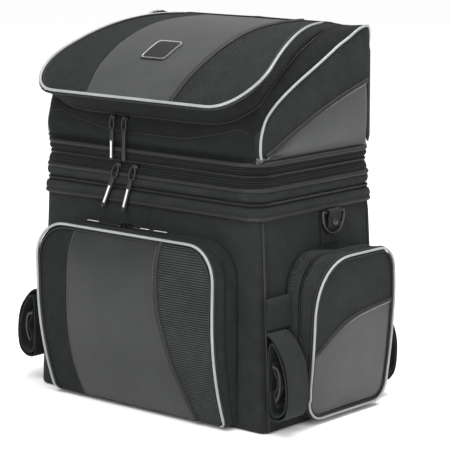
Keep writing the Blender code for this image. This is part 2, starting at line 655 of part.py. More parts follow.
def main():
    clear_scene()
    mats = {
        "nylon": material("ballistic_nylon", (0.030, 0.031, 0.032), 0.80),
        "piping": material("reflective_piping", (0.42, 0.42, 0.43), 0.40),
        "rubber": material("grip_rubber", (0.02, 0.02, 0.02), 0.90),
        "board": material("stiffener_board", (0.12, 0.12, 0.12), 0.60),
        "lining": material("lining_cloth", (0.05, 0.05, 0.055), 0.85),
        "gusset": material("gusset_cloth", (0.028, 0.028, 0.030), 0.85),
        "webbing": material("strap_webbing", (0.035, 0.035, 0.036), 0.75),
        "zinc": material("dark_zinc", (0.22, 0.22, 0.23), 0.35, 1.0),
        "cord": material("pull_cord", (0.040, 0.040, 0.042), 0.60),
        "buckle": material("buckle_plastic", (0.018, 0.018, 0.019), 0.45),
    }
    build_body(mats)
    build_expansion(mats)
    build_sleeve(mats)
    build_front_pocket(mats)
    for side, tag in ((1, "right"), (-1, "left")):
        build_side_pocket(side, tag, mats)
        build_ring(side, tag, mats)
    build_top_case(mats)
    build_badge(mats)
    build_sliders(mats)
    build_straps(mats)


main()
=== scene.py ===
"""Looks of the motorcycle tail bag: soft goods, zips, straps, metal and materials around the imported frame.

Metres, +Z up, -Y is the front of the bag and +X its right side seen from the front.
"""
import json
import math

import bmesh
import bpy
import numpy as np
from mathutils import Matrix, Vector, noise
from mathutils.bvhtree import BVHTree


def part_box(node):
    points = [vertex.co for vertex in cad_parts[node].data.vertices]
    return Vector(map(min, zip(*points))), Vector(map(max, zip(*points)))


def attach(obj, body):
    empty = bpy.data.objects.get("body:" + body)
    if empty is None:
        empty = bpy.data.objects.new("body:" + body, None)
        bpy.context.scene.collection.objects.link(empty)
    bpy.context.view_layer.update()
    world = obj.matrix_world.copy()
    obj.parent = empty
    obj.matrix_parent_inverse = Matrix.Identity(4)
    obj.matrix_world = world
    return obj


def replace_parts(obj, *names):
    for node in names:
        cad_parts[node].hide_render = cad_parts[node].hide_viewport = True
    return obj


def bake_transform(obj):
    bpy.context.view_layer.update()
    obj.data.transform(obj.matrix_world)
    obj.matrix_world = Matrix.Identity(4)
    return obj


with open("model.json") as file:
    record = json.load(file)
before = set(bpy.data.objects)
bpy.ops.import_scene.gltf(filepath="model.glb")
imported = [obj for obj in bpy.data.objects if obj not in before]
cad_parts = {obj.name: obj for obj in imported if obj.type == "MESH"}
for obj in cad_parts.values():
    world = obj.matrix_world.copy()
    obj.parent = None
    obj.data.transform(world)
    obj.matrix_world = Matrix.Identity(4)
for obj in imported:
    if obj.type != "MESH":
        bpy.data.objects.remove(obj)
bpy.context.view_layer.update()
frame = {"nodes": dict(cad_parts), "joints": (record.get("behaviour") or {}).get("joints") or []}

# ---------------------------------------------------------------- sizes, the same as the frame's
# The body: half width and half depth at the waist, and how much wider each side is at the base.
HALF_W, HALF_D = 0.190, 0.120
BASE_SPREAD = 0.015
# Heights of the welts and of the two zips that run all round.
Z_WELT_LOW, Z_SPLIT, Z_WELT_MID = 0.277, 0.2945, 0.3125
Z_MAIN_ZIP, Z_WELT_TOP = 0.330, 0.345
WALL = 0.0025

# FP is the front pocket and SP a side pocket; depths are measured out from the wall.
FP_HALF_W, FP_BOTTOM, FP_TOP = 0.160, 0.008, 0.243
FP_DEPTH_LOW, FP_DEPTH, FP_BELLY_Z = 0.016, 0.046, 0.155
FP_FALL, FP_FALL_Z = 0.006, 0.190
SP_Y0, SP_Y1 = -0.060, 0.108
SP_BOTTOM, SP_TOP, SP_FOLD_Z = 0.008, 0.218, 0.100
SP_DEPTHS = [(0.0, 0.0165), (0.035, 0.0220), (0.070, 0.0285), (0.105, 0.0340), (0.140, 0.0385), (0.165, 0.0405),
             (0.220, 0.0410)]

# The lid: its edge narrows from front to back, and rises along a slope that levels out.
VISOR_FRONT_Y, VISOR_BACK_Y = -0.154, 0.104
VISOR_FRONT_W, VISOR_BACK_W = 0.2065, 0.120
VISOR_FRONT_Z, VISOR_RISE, VISOR_CROWN = 0.4185, 0.0880, 0.0092
VISOR_CORNER = 0.072
VISOR_SLOPE_RUN, VISOR_SLOPE_POWER = 0.2175, 2.0

SIDEWAYS, FORWARD, UPWARD = (1, 0, 0), (0, 1, 0), (0, 0, 1)
TO_FRONT = (0, -1, 0)
RIGHT_AND_LEFT = ((1, "right"), (-1, "left"))


def clamp(value):
    return min(max(value, 0.0), 1.0)


def wall_x(z):
    """Half width of the body at height z."""
    return HALF_W + BASE_SPREAD * (1 - min(max(z, 0.0), Z_WELT_LOW) / Z_WELT_LOW)


def front_depth(z):
    """Depth of the front pocket at height z: a belly that falls back near the top."""
    u = min(max(z, 0.0) / FP_BELLY_Z, 1.0)
    fall = max(z - FP_FALL_Z, 0.0) / (FP_TOP - FP_FALL_Z)
    return FP_DEPTH_LOW + (FP_DEPTH - FP_DEPTH_LOW) * (1 - (1 - u) ** 2) - FP_FALL * fall ** 2


def lerp(a, b, t):
    return a + (b - a) * t


def curve_at(points, value):
    """Smooth value of a curve given by a few (position, value) points, by monotone cubic blends."""
    if value <= points[0][0]:
        return points[0][1]
    if value >= points[-1][0]:
        return points[-1][1]
    for i in range(len(points) - 1):
        (x0, y0), (x1, y1) = points[i], points[i + 1]
        if x0 <= value <= x1:
            before = points[max(i - 1, 0)]
            after = points[min(i + 2, len(points) - 1)]
            m0 = (y1 - before[1]) / (x1 - before[0])
            m1 = (after[1] - y0) / (after[0] - x0)
            t, h = (value - x0) / (x1 - x0), x1 - x0
            return ((2 * t ** 3 - 3 * t ** 2 + 1) * y0 + (t ** 3 - 2 * t ** 2 + t) * h * m0
                    + (-2 * t ** 3 + 3 * t ** 2) * y1 + (t ** 3 - t ** 2) * h * m1)
    return points[-1][1]


# ---------------------------------------------------------------- materials
def new_material(name, colour, roughness, metallic=0.0):
    mat = bpy.data.materials.new(name)
    mat.use_nodes = True
    shader = mat.node_tree.nodes["Principled BSDF"]
    shader.inputs["Base Color"].default_value = (*colour, 1.0)
    shader.inputs["Roughness"].default_value = roughness
    shader.inputs["Metallic"].default_value = metallic
    return mat, mat.node_tree, shader


def node(tree, kind, **values):
    """A shader node with its settings or input values, where _ in a name stands for a space."""
    item = tree.nodes.new(kind)
    for key, value in values.items():
        if hasattr(item, key):
            setattr(item, key, value)
        else:
            item.inputs[key.replace("_", " ")].default_value = value
    return item


def texture(tree, coords, kind, **values):
    """A texture node read in object space."""
    item = node(tree, "ShaderNodeTex" + kind, **values)
    tree.links.new(coords.outputs["Object"], item.inputs["Vector"])
    return item


def math_node(tree, operation, a, b=None):
    """A Math node; a and b are numbers or (node, output) pairs."""
    item = tree.nodes.new("ShaderNodeMath")
    item.operation = operation
    for index, value in enumerate((a, b)):
        if value is None:
            continue
        if isinstance(value, tuple):
            tree.links.new(value[0].outputs[value[1]], item.inputs[index])
        else:
            item.inputs[index].default_value = value
    return item


def direction(tree, coords, axis, pitch):
    """Sine of the distance along axis, one period each pitch."""
    dot = tree.nodes.new("ShaderNodeVectorMath")
    dot.operation = "DOT_PRODUCT"
    tree.links.new(coords.outputs["Object"], dot.inputs[0])
    dot.inputs[1].default_value = Vector(axis) * (2 * math.pi / pitch)
    return math_node(tree, "SINE", (dot, "Value"))


def mottled_colour(tree, shader, coords, dark, light, scale, height=None, share=0.5):
    """Base colour between dark and light by broad noise, and by a height where one is given."""
    clouds = texture(tree, coords, "Noise", Scale=scale, Detail=6.0, Roughness=0.65)
    factor = (clouds, "Fac")
    if height is not None:
        scaled = math_node(tree, "MULTIPLY_ADD", height, share)
        tree.links.new(clouds.outputs["Fac"], scaled.inputs[2])
        factor = (scaled, "Value")
    ramp = tree.nodes.new("ShaderNodeValToRGB")
    for element, position, colour in zip(ramp.color_ramp.elements, (0.25, 0.85), (dark, light)):
        element.position = position
        element.color = (*colour, 1.0)
    tree.links.new(factor[0].outputs[factor[1]], ramp.inputs["Fac"])
    tree.links.new(ramp.outputs["Color"], shader.inputs["Base Color"])
    return clouds


def bump(tree, shader, height, strength, distance):
    item = node(tree, "ShaderNodeBump", Strength=strength, Distance=distance)
    tree.links.new(height[0].outputs[height[1]], item.inputs["Height"])
    tree.links.new(item.outputs["Normal"], shader.inputs["Normal"])


def vary_roughness(tree, shader, source, low, high):
    """Roughness between low and high by a texture's value."""
    spread = node(tree, "ShaderNodeMapRange", To_Min=low, To_Max=high)
    tree.links.new(source.outputs["Fac"], spread.inputs["Value"])
    tree.links.new(spread.outputs["Result"], shader.inputs["Roughness"])


def woven(name, dark, light, across, up, pitch=0.0027, strength=1.0, sheen=0.02, rib=None):
    """Woven cloth: crossing yarns along two directions, fine fuzz, and a mottled colour."""
    mat, tree, shader = new_material(name, light, 0.8)
    coords = tree.nodes.new("ShaderNodeTexCoord")
    warp = direction(tree, coords, across, pitch)
    if rib:
        cloth = math_node(tree, "MULTIPLY_ADD", (warp, "Value"), 0.25)
        tree.links.new(direction(tree, coords, up, rib).outputs[0], cloth.inputs[2])
    else:
        weft = direction(tree, coords, up, pitch)
        cloth = math_node(tree, "MULTIPLY", (warp, "Value"), (weft, "Value"))
    fuzz = texture(tree, coords, "Noise", Scale=1400.0, Detail=3.0)
    height = math_node(tree, "MULTIPLY_ADD", (fuzz, "Fac"), 1.6)
    tree.links.new(cloth.outputs[0], height.inputs[2])
    mottled_colour(tree, shader, coords, dark, light, 45.0, (cloth, "Value"), 0.50)
    bump(tree, shader, (height, "Value"), strength, 0.0005)
    shader.inputs["Specular IOR Level"].default_value = 0.12
    shader.inputs["Sheen Weight"].default_value = sheen
    shader.inputs["Sheen Roughness"].default_value = 0.55
    shader.inputs["Sheen Tint"].default_value = (0.75, 0.80, 0.82, 1.0)
    return mat


def coated(name, dark, light, roughness=0.42, strength=0.25, grain=900.0):
    """Smooth coated panel: fine leather-like grain and soft scuffs in the sheen."""
    mat, tree, shader = new_material(name, light, roughness)
    coords = tree.nodes.new("ShaderNodeTexCoord")
    cells = texture(tree, coords, "Voronoi", Scale=grain)
    clouds = mottled_colour(tree, shader, coords, dark, light, 18.0)
    shader.inputs["Specular IOR Level"].default_value = 0.40
    height = math_node(tree, "MULTIPLY_ADD", (cells, "Distance"), 0.8)
    tree.links.new(clouds.outputs["Fac"], height.inputs[2])
    bump(tree, shader, (height, "Value"), strength, 0.0003)
    smear = texture(tree, coords, "Noise", Scale=60.0, Detail=5.0)
    vary_roughness(tree, shader, smear, roughness - 0.07, roughness + 0.09)
    return mat


def metal(name, colour, roughness):
    """Plated metal with fine pits and uneven wear."""
    mat, tree, shader = new_material(name, colour, roughness, 1.0)
    coords = tree.nodes.new("ShaderNodeTexCoord")
    pits = texture(tree, coords, "Noise", Scale=700.0, Detail=4.0)
    vary_roughness(tree, shader, pits, roughness - 0.08, roughness + 0.14)
    mottled_colour(tree, shader, coords, [c * 0.7 for c in colour], colour, 160.0)
    bump(tree, shader, (pits, "Fac"), 0.12, 0.0002)
    return mat


# The direction in which wrapped cloth's yarns cross: it works on the front and on the sides alike.
SLANTED = (0.7, 0.72, 0)
MATS = {
    "nylon_front": woven("nylon_front", (0.003, 0.004, 0.004), (0.014, 0.015, 0.015), SIDEWAYS, UPWARD),
    "nylon_side": woven("nylon_side", (0.008, 0.009, 0.009), (0.026, 0.028, 0.028), FORWARD, UPWARD),
    "nylon_wrap": woven("nylon_wrap", (0.007, 0.008, 0.008), (0.025, 0.027, 0.027), SLANTED, UPWARD),
    # The next nylon is a darker copy for the cloth under the lid's overhang: painted shade.
    "nylon_shaded_under_lid": woven("nylon_shaded_under_lid", (0.002, 0.002, 0.002), (0.009, 0.010, 0.010), SLANTED, UPWARD),
    "nylon_top": woven("nylon_top", (0.007, 0.008, 0.008), (0.022, 0.023, 0.023), SIDEWAYS, (0, 0.8, 0.6)),
    "nylon_ribbed": woven("nylon_ribbed", (0.006, 0.007, 0.007), (0.038, 0.041, 0.041), SIDEWAYS, UPWARD,
                          strength=0.9, rib=0.0032),
    # The band cloth below is a darkened copy of the ribbed nylon: painted shade between the welts.
    "band_ribbed_shaded": woven("band_ribbed_shaded", (0.002, 0.002, 0.002), (0.009, 0.010, 0.010), SLANTED, UPWARD,
                         strength=0.9, rib=0.0034),
    "coated_panel": coated("coated_panel", (0.029, 0.030, 0.030), (0.047, 0.048, 0.049)),
    "coated_front": coated("coated_front", (0.007, 0.008, 0.008), (0.016, 0.017, 0.017)),
    "coated_side": coated("coated_side", (0.014, 0.015, 0.015), (0.026, 0.027, 0.027)),
    "coated_dark": coated("coated_dark", (0.002, 0.002, 0.002), (0.005, 0.005, 0.005), 0.62, 0.2, 1400.0),
    "piping": coated("light_piping", (0.19, 0.20, 0.20), (0.29, 0.30, 0.30), 0.34, 0.15, 2500.0),
    "webbing": woven("webbing", (0.005, 0.005, 0.005), (0.017, 0.018, 0.018), (0.5, 0.5, 0.5), UPWARD,
                     pitch=0.0020, strength=0.7, sheen=0.06, rib=0.0015),
    # The zip tape is dark in its own colour and darkened further as painted shade in the bands between the
    # welts.
    "tape": woven("zip_tape", (0.003, 0.003, 0.003), (0.009, 0.010, 0.010), SLANTED, UPWARD,
                  pitch=0.0011, rib=0.0013),
    "teeth": coated("zip_teeth", (0.003, 0.003, 0.004), (0.008, 0.008, 0.009), 0.34, 0.1, 2500.0),
    "thread": woven("thread", (0.010, 0.011, 0.011), (0.036, 0.038, 0.038), SIDEWAYS, UPWARD,
                    pitch=0.0007, sheen=0.1),
    "zinc": metal("dark_zinc", (0.060, 0.060, 0.063), 0.30),
    "rubber": coated("pull_rubber", (0.004, 0.004, 0.005), (0.010, 0.010, 0.011), 0.48, 0.3, 1600.0),
    "stripe": coated("pull_stripe", (0.52, 0.52, 0.51), (0.68, 0.68, 0.67), 0.40, 0.2, 1800.0),
    "lining": woven("lining_weave", (0.030, 0.031, 0.034), (0.055, 0.056, 0.060), SLANTED, UPWARD,
                    pitch=0.0009, strength=0.3),
    "board": coated("board_face", (0.060, 0.060, 0.062), (0.095, 0.095, 0.098), 0.6, 0.4, 700.0),
    "buckle": coated("buckle_plastic", (0.005, 0.005, 0.006), (0.010, 0.010, 0.011), 0.36, 0.3, 1200.0),
    "badge": coated("badge_face", (0.006, 0.006, 0.007), (0.013, 0.013, 0.014), 0.40, 0.3, 1500.0),
}
SLOT_OF = {
    "piping": "reflective_piping", "webbing": "strap_webbing", "zinc": "dark_zinc", "stripe": "pull_cord",
    "rubber": "pull_cord", "lining": "lining_cloth", "board": "stiffener_board", "buckle": "buckle_plastic",
    "badge": "dark_zinc",
}


# ---------------------------------------------------------------- mesh helpers
def place_in_scene(item):
    bpy.context.scene.collection.objects.link(item)
    return item


def mesh_piece(name, verts, faces, mats, face_mats=None, sharp=40):
    """A mesh piece named name, with the materials of those keys."""
    mesh = bpy.data.meshes.new(name)
    mesh.from_pydata([tuple(v) for v in verts], [], faces)
    for key in mats:
        mesh.materials.append(MATS[key])
    if face_mats is not None:
        mesh.polygons.foreach_set("material_index", face_mats)
    shell = bmesh.new()
    shell.from_mesh(mesh)
    bmesh.ops.recalc_face_normals(shell, faces=shell.faces)
    shell.to_mesh(mesh)
    shell.free()
    mesh.shade_smooth()
    mesh.set_sharp_from_angle(angle=math.radians(sharp))
    item = place_in_scene(bpy.data.objects.new(name, mesh))
    SLOT_OF.get(mats[0], "ballistic_nylon")
    return item


def thicken(item, thickness):
    """Give an open skin its cloth thickness on the inside."""
    bpy.context.view_layer.update()
    mod = item.modifiers.new("cloth", "SOLIDIFY")
    mod.thickness = thickness
    mod.offset = -1.0
    mod.use_even_offset = False
    bake(item)


def bake(item):
    """Replace a piece's mesh by what its modifiers make of it."""
    graph = bpy.context.evaluated_depsgraph_get()
    made = bpy.data.meshes.new_from_object(item.evaluated_get(graph))
    old = item.data
    item.modifiers.clear()
    item.data = made
    made.name = item.name
    bpy.data.meshes.remove(old)


def skin(name, rows, mats, zone=None, closed=False, ring=False, cap=False, sharp=40):
    """Quads between equal rows of points. zone(row, column) picks the material; closed joins row ends,
    ring joins the last row to the first, and cap fills the first and last rows."""
    count = len(rows[0])
    verts = [p for row in rows for p in row]
    faces, picks = [], []
    for r in range(len(rows) if ring else len(rows) - 1):
        low, high = r * count, ((r + 1) % len(rows)) * count
        for c in range(count if closed else count - 1):
            d = (c + 1) % count
            faces.append((low + c, low + d, high + d, high + c))
            picks.append(zone(r, c) if zone else 0)
    for start in (0, len(verts) - count) if cap else ():
        faces.append(tuple(range(start, start + count)))
        picks.append(zone(len(rows) - 2, 0) if zone and start else 0)
    return mesh_piece(name, verts, faces, mats, picks, sharp)


def smooth_path(points, step, closed=False):
    """Points every step metres along a smooth curve through the given points."""
    pts = [Vector(p) for p in points]
    count = len(pts)
    dense = []
    spans = count if closed else count - 1
    for i in range(spans):
        p1, p2 = pts[i], pts[(i + 1) % count]
        p0 = pts[i - 1] if closed or i > 0 else p1 * 2 - p2
        p3 = pts[(i + 2) % count] if closed or i + 2 < count else p2 * 2 - p1
        pieces = max(int((p2 - p1).length / step), 1)
        for k in range(pieces):
            t = k / pieces
            dense.append(0.5 * ((2 * p1) + (p2 - p0) * t + (2 * p0 - 5 * p1 + 4 * p2 - p3) * t * t
                                + (3 * p1 - p0 - 3 * p2 + p3) * t ** 3))
    if not closed:
        dense.append(pts[-1])
    return dense


def fine_path(points, step, closed=False, fine=None):
    """Evenly spaced points along a smooth curve through the given points."""
    return even_path(smooth_path(points, fine or step, closed), step, closed)


def even_path(points, step, closed=False):
    """Points at an even spacing close to step along a polyline."""
    pts = [Vector(p) for p in points]
    if closed:
        pts = pts + [pts[0]]
    lengths = [0.0]
    for a, b in zip(pts, pts[1:]):
        lengths.append(lengths[-1] + (b - a).length)
    total = lengths[-1]
    count = max(int(round(total / step)), 2)
    made, i = [], 0
    for k in range(count if closed else count + 1):
        want = total * k / count
        while i < len(lengths) - 2 and lengths[i + 1] < want:
            i += 1
        span = lengths[i + 1] - lengths[i]
        made.append(pts[i].lerp(pts[i + 1], (want - lengths[i]) / span if span else 0.0))
    return made


def moved(points, x=0.0, y=0.0, z=0.0):
    return [p + Vector((x, y, z)) for p in points]


def tangents(path, closed=False):
    count = len(path)
    made = []
    for i in range(count):
        if closed:
            made.append((path[(i + 1) % count] - path[i - 1]).normalized())
        else:
            made.append((path[min(i + 1, count - 1)] - path[max(i - 1, 0)]).normalized())
    return made


def frames_along(path, facing, closed=False):
    """(along, out, across) at each point; facing is a vector, a list of vectors or a function."""
    made = []
    for i, (point, ahead) in enumerate(zip(path, tangents(path, closed))):
        if callable(facing):
            out = Vector(facing(point))
        elif isinstance(facing, list):
            out = Vector(facing[i])
        else:
            out = Vector(facing)
        out = (out - ahead * out.dot(ahead)).normalized()
        made.append((ahead, out, ahead.cross(out)))
    return made


def section_sweep(name, path, facing, section, mat, closed=False, sharp=40, scale=None):
    """Sweep a closed (across, out) section along a path."""
    rows = []
    for i, (point, (_, out, across)) in enumerate(zip(path, frames_along(path, facing, closed))):
        size = scale(i / max(len(path) - 1, 1)) if scale else 1.0
        rows.append([point + across * (a * size) + out * (b * size) for a, b in section])
    return skin(name, rows, [mat], closed=True, ring=closed, cap=not closed, sharp=sharp)


def turns(count):
    """Angles evenly round a full turn."""
    return [2 * math.pi * k / count for k in range(count)]


def squarish(value, power):
    """A sine or cosine raised to a power with its sign kept, for a squarer round outline."""
    return math.copysign(abs(value) ** power, value)


def circle(radius, sides=10, flat=1.0):
    return [(radius * math.cos(a), radius * flat * math.sin(a)) for a in turns(sides)]


def cord(name, path, radius, mat, facing=(0.3, 0.5, 1.0), closed=False, sides=10):
    """A round cord or piping with small rounded ends."""
    def end(t):
        return 1.0 if closed else min(1.0, 0.45 + 30 * t, 0.45 + 30 * (1 - t))
    return section_sweep(name, path, facing, circle(radius, sides), mat, closed, sharp=60, scale=end)


def strip_section(width, thick, ribs=0):
    """Flat strap section with rounded edges and, if asked, shallow lengthwise ribs on both faces."""
    half, edge = width / 2, thick / 2
    points = [(half - edge * 0.3, -edge), (half, 0.0), (half - edge * 0.3, edge)]
    steps = max(ribs, 1) * 2
    depth = thick * 0.10 if ribs else 0.0
    top = [(half - edge - (width - 2 * edge) * k / steps, edge - (depth if k % 2 else 0.0))
           for k in range(1, steps)]
    return (points + top + [(-half + edge * 0.3, edge), (-half, 0.0), (-half + edge * 0.3, -edge)]
            + [(-x, -y) for x, y in top])


def strap(name, path, facing, width, thick, ribs=9):
    return section_sweep(name, path, facing, strip_section(width, thick, ribs), "webbing", sharp=50)


def tube_faces(base, rings, sides):
    """Side faces of a short tube of vertex rings that starts at vertex base."""
    made = []
    for r in range(rings - 1):
        for k in range(sides):
            a, b = base + r * sides + k, base + r * sides + (k + 1) % sides
            made.append((a, b, b + sides, a + sides))
    return made


def stitches(name, path, facing, lift=0.0001, closed=False):
    """A row of short thread loops lying on the cloth."""
    length, radius, sides = 0.0021, 0.00035, 5
    path = even_path(path, 0.0032, closed)
    verts, faces = [], []
    for point, (ahead, out, across) in zip(path, frames_along(path, facing, closed)):
        base = len(verts)
        for t, size, high in ((-0.5, 0.55, -0.0003), (-0.25, 1.0, 0.0), (0.25, 1.0, 0.0), (0.5, 0.55, -0.0003)):
            centre = point + ahead * (length * t) + out * (lift + high)
            verts += [centre + (across * math.cos(a) + out * math.sin(a)) * radius * size for a in turns(sides)]
        faces += tube_faces(base, 4, sides)
        faces.append(tuple(base + k for k in range(sides)))
        faces.append(tuple(base + 3 * sides + k for k in reversed(range(sides))))
    return mesh_piece(name, verts, faces, ["thread"], None, 60)


def zip_row(name, path, facing, toward, body, phase=0.0, closed=False):
    """One row of zip teeth: rounded blocks that reach toward the other row (+1 or -1 across the path)."""
    pitch, reach = 0.0026, 0.0024
    wide, high = pitch * 0.52, 0.0013
    path = even_path(path, pitch, closed)
    verts, faces = [], []
    for point, (ahead, out, across) in zip(path, frames_along(path, facing, closed)):
        centre = point + ahead * (phase * pitch)
        base = len(verts)
        for depth, shrink in ((-0.0002, 1.0), (high * 0.6, 1.0), (high, 0.55)):
            for a, b in ((-0.5, 0.0), (0.5, 0.0), (0.5, 0.8), (0.2, 1.0), (-0.2, 1.0), (-0.5, 0.8)):
                verts.append(centre + ahead * (a * wide * shrink) + out * depth
                             + across * (toward * reach * (0.5 + (b - 0.5) * shrink - 0.35)))
        faces += tube_faces(base, 3, 6)
        faces.append(tuple(base + 12 + k for k in range(6)))
        faces.append(tuple(base + k for k in reversed(range(6))))
    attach(mesh_piece(name, verts, faces, ["teeth"], None, 35), body)


def nap(point, size, scale=9.0, seed=0.0):
    """Gentle unevenness of cloth: smooth noise of a given size in metres."""
    return size * noise.noise(Vector(point) * scale + Vector((seed, 2.3 * seed, 5.1)))


def surface_tree(item):
    """A piece's surface, for laying trims on it."""
    bpy.context.view_layer.update()
    return BVHTree.FromObject(item, bpy.context.evaluated_depsgraph_get())


def lay_on(points, tree, way, lift, reach=0.05):
    """Move points along -way onto a surface, then lift them off along its normal."""
    way = Vector(way).normalized()
    made = []
    for point in points:
        hit, normal, _, _ = tree.ray_cast(Vector(point) + way * reach, -way, reach * 2)
        if hit is None:
            hit, normal, _, _ = tree.find_nearest(Vector(point))
        if normal.dot(way) < 0:
            normal = -normal
        made.append(hit + normal * lift)
    return made


def facing_away(item, way):
    """Whether most of a piece's faces look away from a direction."""
    way = Vector(way)
    return sum(p.normal.dot(way) * p.area for p in item.data.polygons) < 0


def held_points(rows, seams):
    """A panel's border points and the columns that its seams hold; seams ends with the last column."""
    count = seams[-1] + 1
    held = {r * count + c for r in range(rows) for c in seams}
    return sorted(held | {r * count + c for r in (0, rows - 1) for c in range(count)})


def swell(item, pinned, way, pressure, cap, frames=18):
    """Inflate a cloth panel towards way with its pinned points held, then keep the result in the mesh.
    No point moves further than cap."""
    if facing_away(item, way):
        pressure = -pressure
    rest = np.empty(len(item.data.vertices) * 3)
    item.data.vertices.foreach_get("co", rest)
    group = item.vertex_groups.new(name="held")
    group.add(pinned, 1.0, "REPLACE")
    mod = item.modifiers.new("panel", "CLOTH")
    cloth = mod.settings
    cloth.quality = 6
    cloth.mass = 0.25
    cloth.tension_stiffness = 12
    cloth.compression_stiffness = 12
    cloth.shear_stiffness = 5
    cloth.bending_stiffness = 2.0
    cloth.vertex_group_mass = "held"
    cloth.use_pressure = True
    cloth.uniform_pressure_force = pressure
    cloth.effector_weights.gravity = 0.0
    mod.point_cache.frame_start = 1
    mod.point_cache.frame_end = frames
    scene = bpy.context.scene
    for number in range(1, frames + 1):
        scene.frame_set(number)
    posed = item.evaluated_get(bpy.context.evaluated_depsgraph_get())
    found = np.empty(len(rest))
    posed.to_mesh().vertices.foreach_get("co", found)
    posed.to_mesh_clear()
    item.modifiers.clear()
    item.vertex_groups.clear()
    scene.frame_set(1)
    shift = (found - rest).reshape(-1, 3)
    size = np.linalg.norm(shift, axis=1, keepdims=True)
    shift *= np.minimum(1.0, cap / np.maximum(size, 1e-9))
    item.data.vertices.foreach_set("co", (rest.reshape(-1, 3) + shift).ravel())
    item.data.update()


# ---------------------------------------------------------------- outlines
def rounded_loop(half_x, half_y, radius, z, corner=7, straight=18):
    """Level rounded rectangle, counter-clockwise from the right front, with points along its sides."""
    points, corners = [], []
    for sx, sy, start in ((1, -1, -90), (1, 1, 0), (-1, 1, 90), (-1, -1, 180)):
        angles = [math.radians(start + 90 * k / corner) for k in range(corner + 1)]
        corners.append([(sx * (half_x - radius) + radius * math.cos(a),
                         sy * (half_y - radius) + radius * math.sin(a)) for a in angles])
    for i, arc in enumerate(corners):
        points += arc
        a, b = Vector(arc[-1]), Vector(corners[(i + 1) % 4][0])
        points += [tuple(a.lerp(b, k / straight)) for k in range(1, straight)]
    return [Vector((x, y, z)) for x, y in points]


def outward(point):
    """Level direction away from the bag's middle, square to its walls."""
    x, y = point.x / HALF_W, point.y / HALF_D
    ax, ay = abs(x) ** 12, abs(y) ** 12
    return Vector((math.copysign(ax, x), math.copysign(ay, y), 0.0)).normalized()


def wall_loop(z, grow, radius):
    """Level loop round the body's walls at height z, grown outwards."""
    return rounded_loop(wall_x(z) + grow, HALF_D + grow, radius, z)


def welt_round(name, body, loop, radius=0.0033):
    """A covered cord all the way round a level loop."""
    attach(cord(name, even_path(loop, 0.006, True), radius, "coated_dark", UPWARD, True), body)


# ---------------------------------------------------------------- main compartment
def main_body():
    """The box: one cloth skin with its tape and lining, the low welt, band stitches and corner seams."""
    # Each level is a height, how far it stands proud of the wall, and its corner radius.
    levels = [(0.0012, -0.0115, 0.010), (0.0006, -0.004, 0.010), (0.0022, -0.0012, 0.011), (0.0050, 0.0, 0.012)]
    levels += [(lerp(0.005, 0.272, k / 26), 0.0, lerp(0.012, 0.016, k / 26)) for k in range(1, 27)]
    levels += [(0.2748, -0.0004, 0.017), (0.2766, 0.0016, 0.019), (0.2790, 0.0034, 0.021),
               (0.2815, 0.0042, 0.022), (0.2845, 0.0044, 0.022), (0.2875, 0.0036, 0.022),
               (0.2895, 0.0020, 0.021), (0.2905, 0.0008, 0.020), (0.2925, 0.0006, 0.020),
               (Z_SPLIT - 0.0006, 0.0004, 0.020)]
    rows = []
    for z, grow, radius in levels:
        soft = clamp((z - 0.02) / 0.05) * clamp((0.274 - z) / 0.03)
        rows.append([p + outward(p) * (nap(p, 0.0016, 14, 1.0) * soft - 0.0008 * soft)
                     for p in wall_loop(z, grow, radius)])
    rows += [wall_loop(z, -WALL, radius)
             for z, radius in ((Z_SPLIT - 0.0006, 0.0105), (0.277, 0.0105), (0.0059, 0.010))]
    tape_from = len(levels) - 3

    def zone(r, c):
        if tape_from <= r < len(levels):
            return 1
        return 2 if r >= len(levels) else 0
    body = skin("bag_cloth", rows, ["nylon_wrap", "tape", "lining"], zone, closed=True, cap=True)
    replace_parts(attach(body, "bag"), "bag_shell")
    loop = rounded_loop(wall_x(0.276) + 0.0018, HALF_D + 0.0018, 0.019, 0.2765)
    welt_round("bag_welt_low", "bag", loop, 0.0032)
    for z, grow in ((0.2738, 0.0002), (0.2888, 0.0028)):
        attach(stitches("bag_band_stitches_%d" % round(z * 1e4), wall_loop(z, grow, 0.020), outward,
                         closed=True), "bag")
    corner_seams()


def corner_seams():
    """The bound seams that run down the four corners of the body, with a row of stitches beside each."""
    heights = [lerp(0.004, 0.2735, k / 24) for k in range(25)]
    for sx, side in RIGHT_AND_LEFT:
        for sy, end in ((-1, "front"), (1, "rear")):
            def at(z, turn, lift, sx=sx, sy=sy):
                radius = lerp(0.012, 0.016, z / 0.272)
                angle = math.radians(turn)
                return Vector((sx * (wall_x(z) - radius + (radius + lift) * math.cos(angle)),
                               sy * (HALF_D - radius + (radius + lift) * math.sin(angle)), z))
            path = [at(z, 14, 0.0002) for z in heights]
            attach(cord("corner_welt_%s_%s" % (end, side), path, 0.0019, "coated_dark", (sx, sy, 0)), "bag")
            seam = [at(z, -2, 0.0) + Vector((0, -sy * 0.004, 0)) for z in heights]
            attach(stitches("corner_stitches_%s_%s" % (end, side), seam, (sx, 0, 0)), "bag")


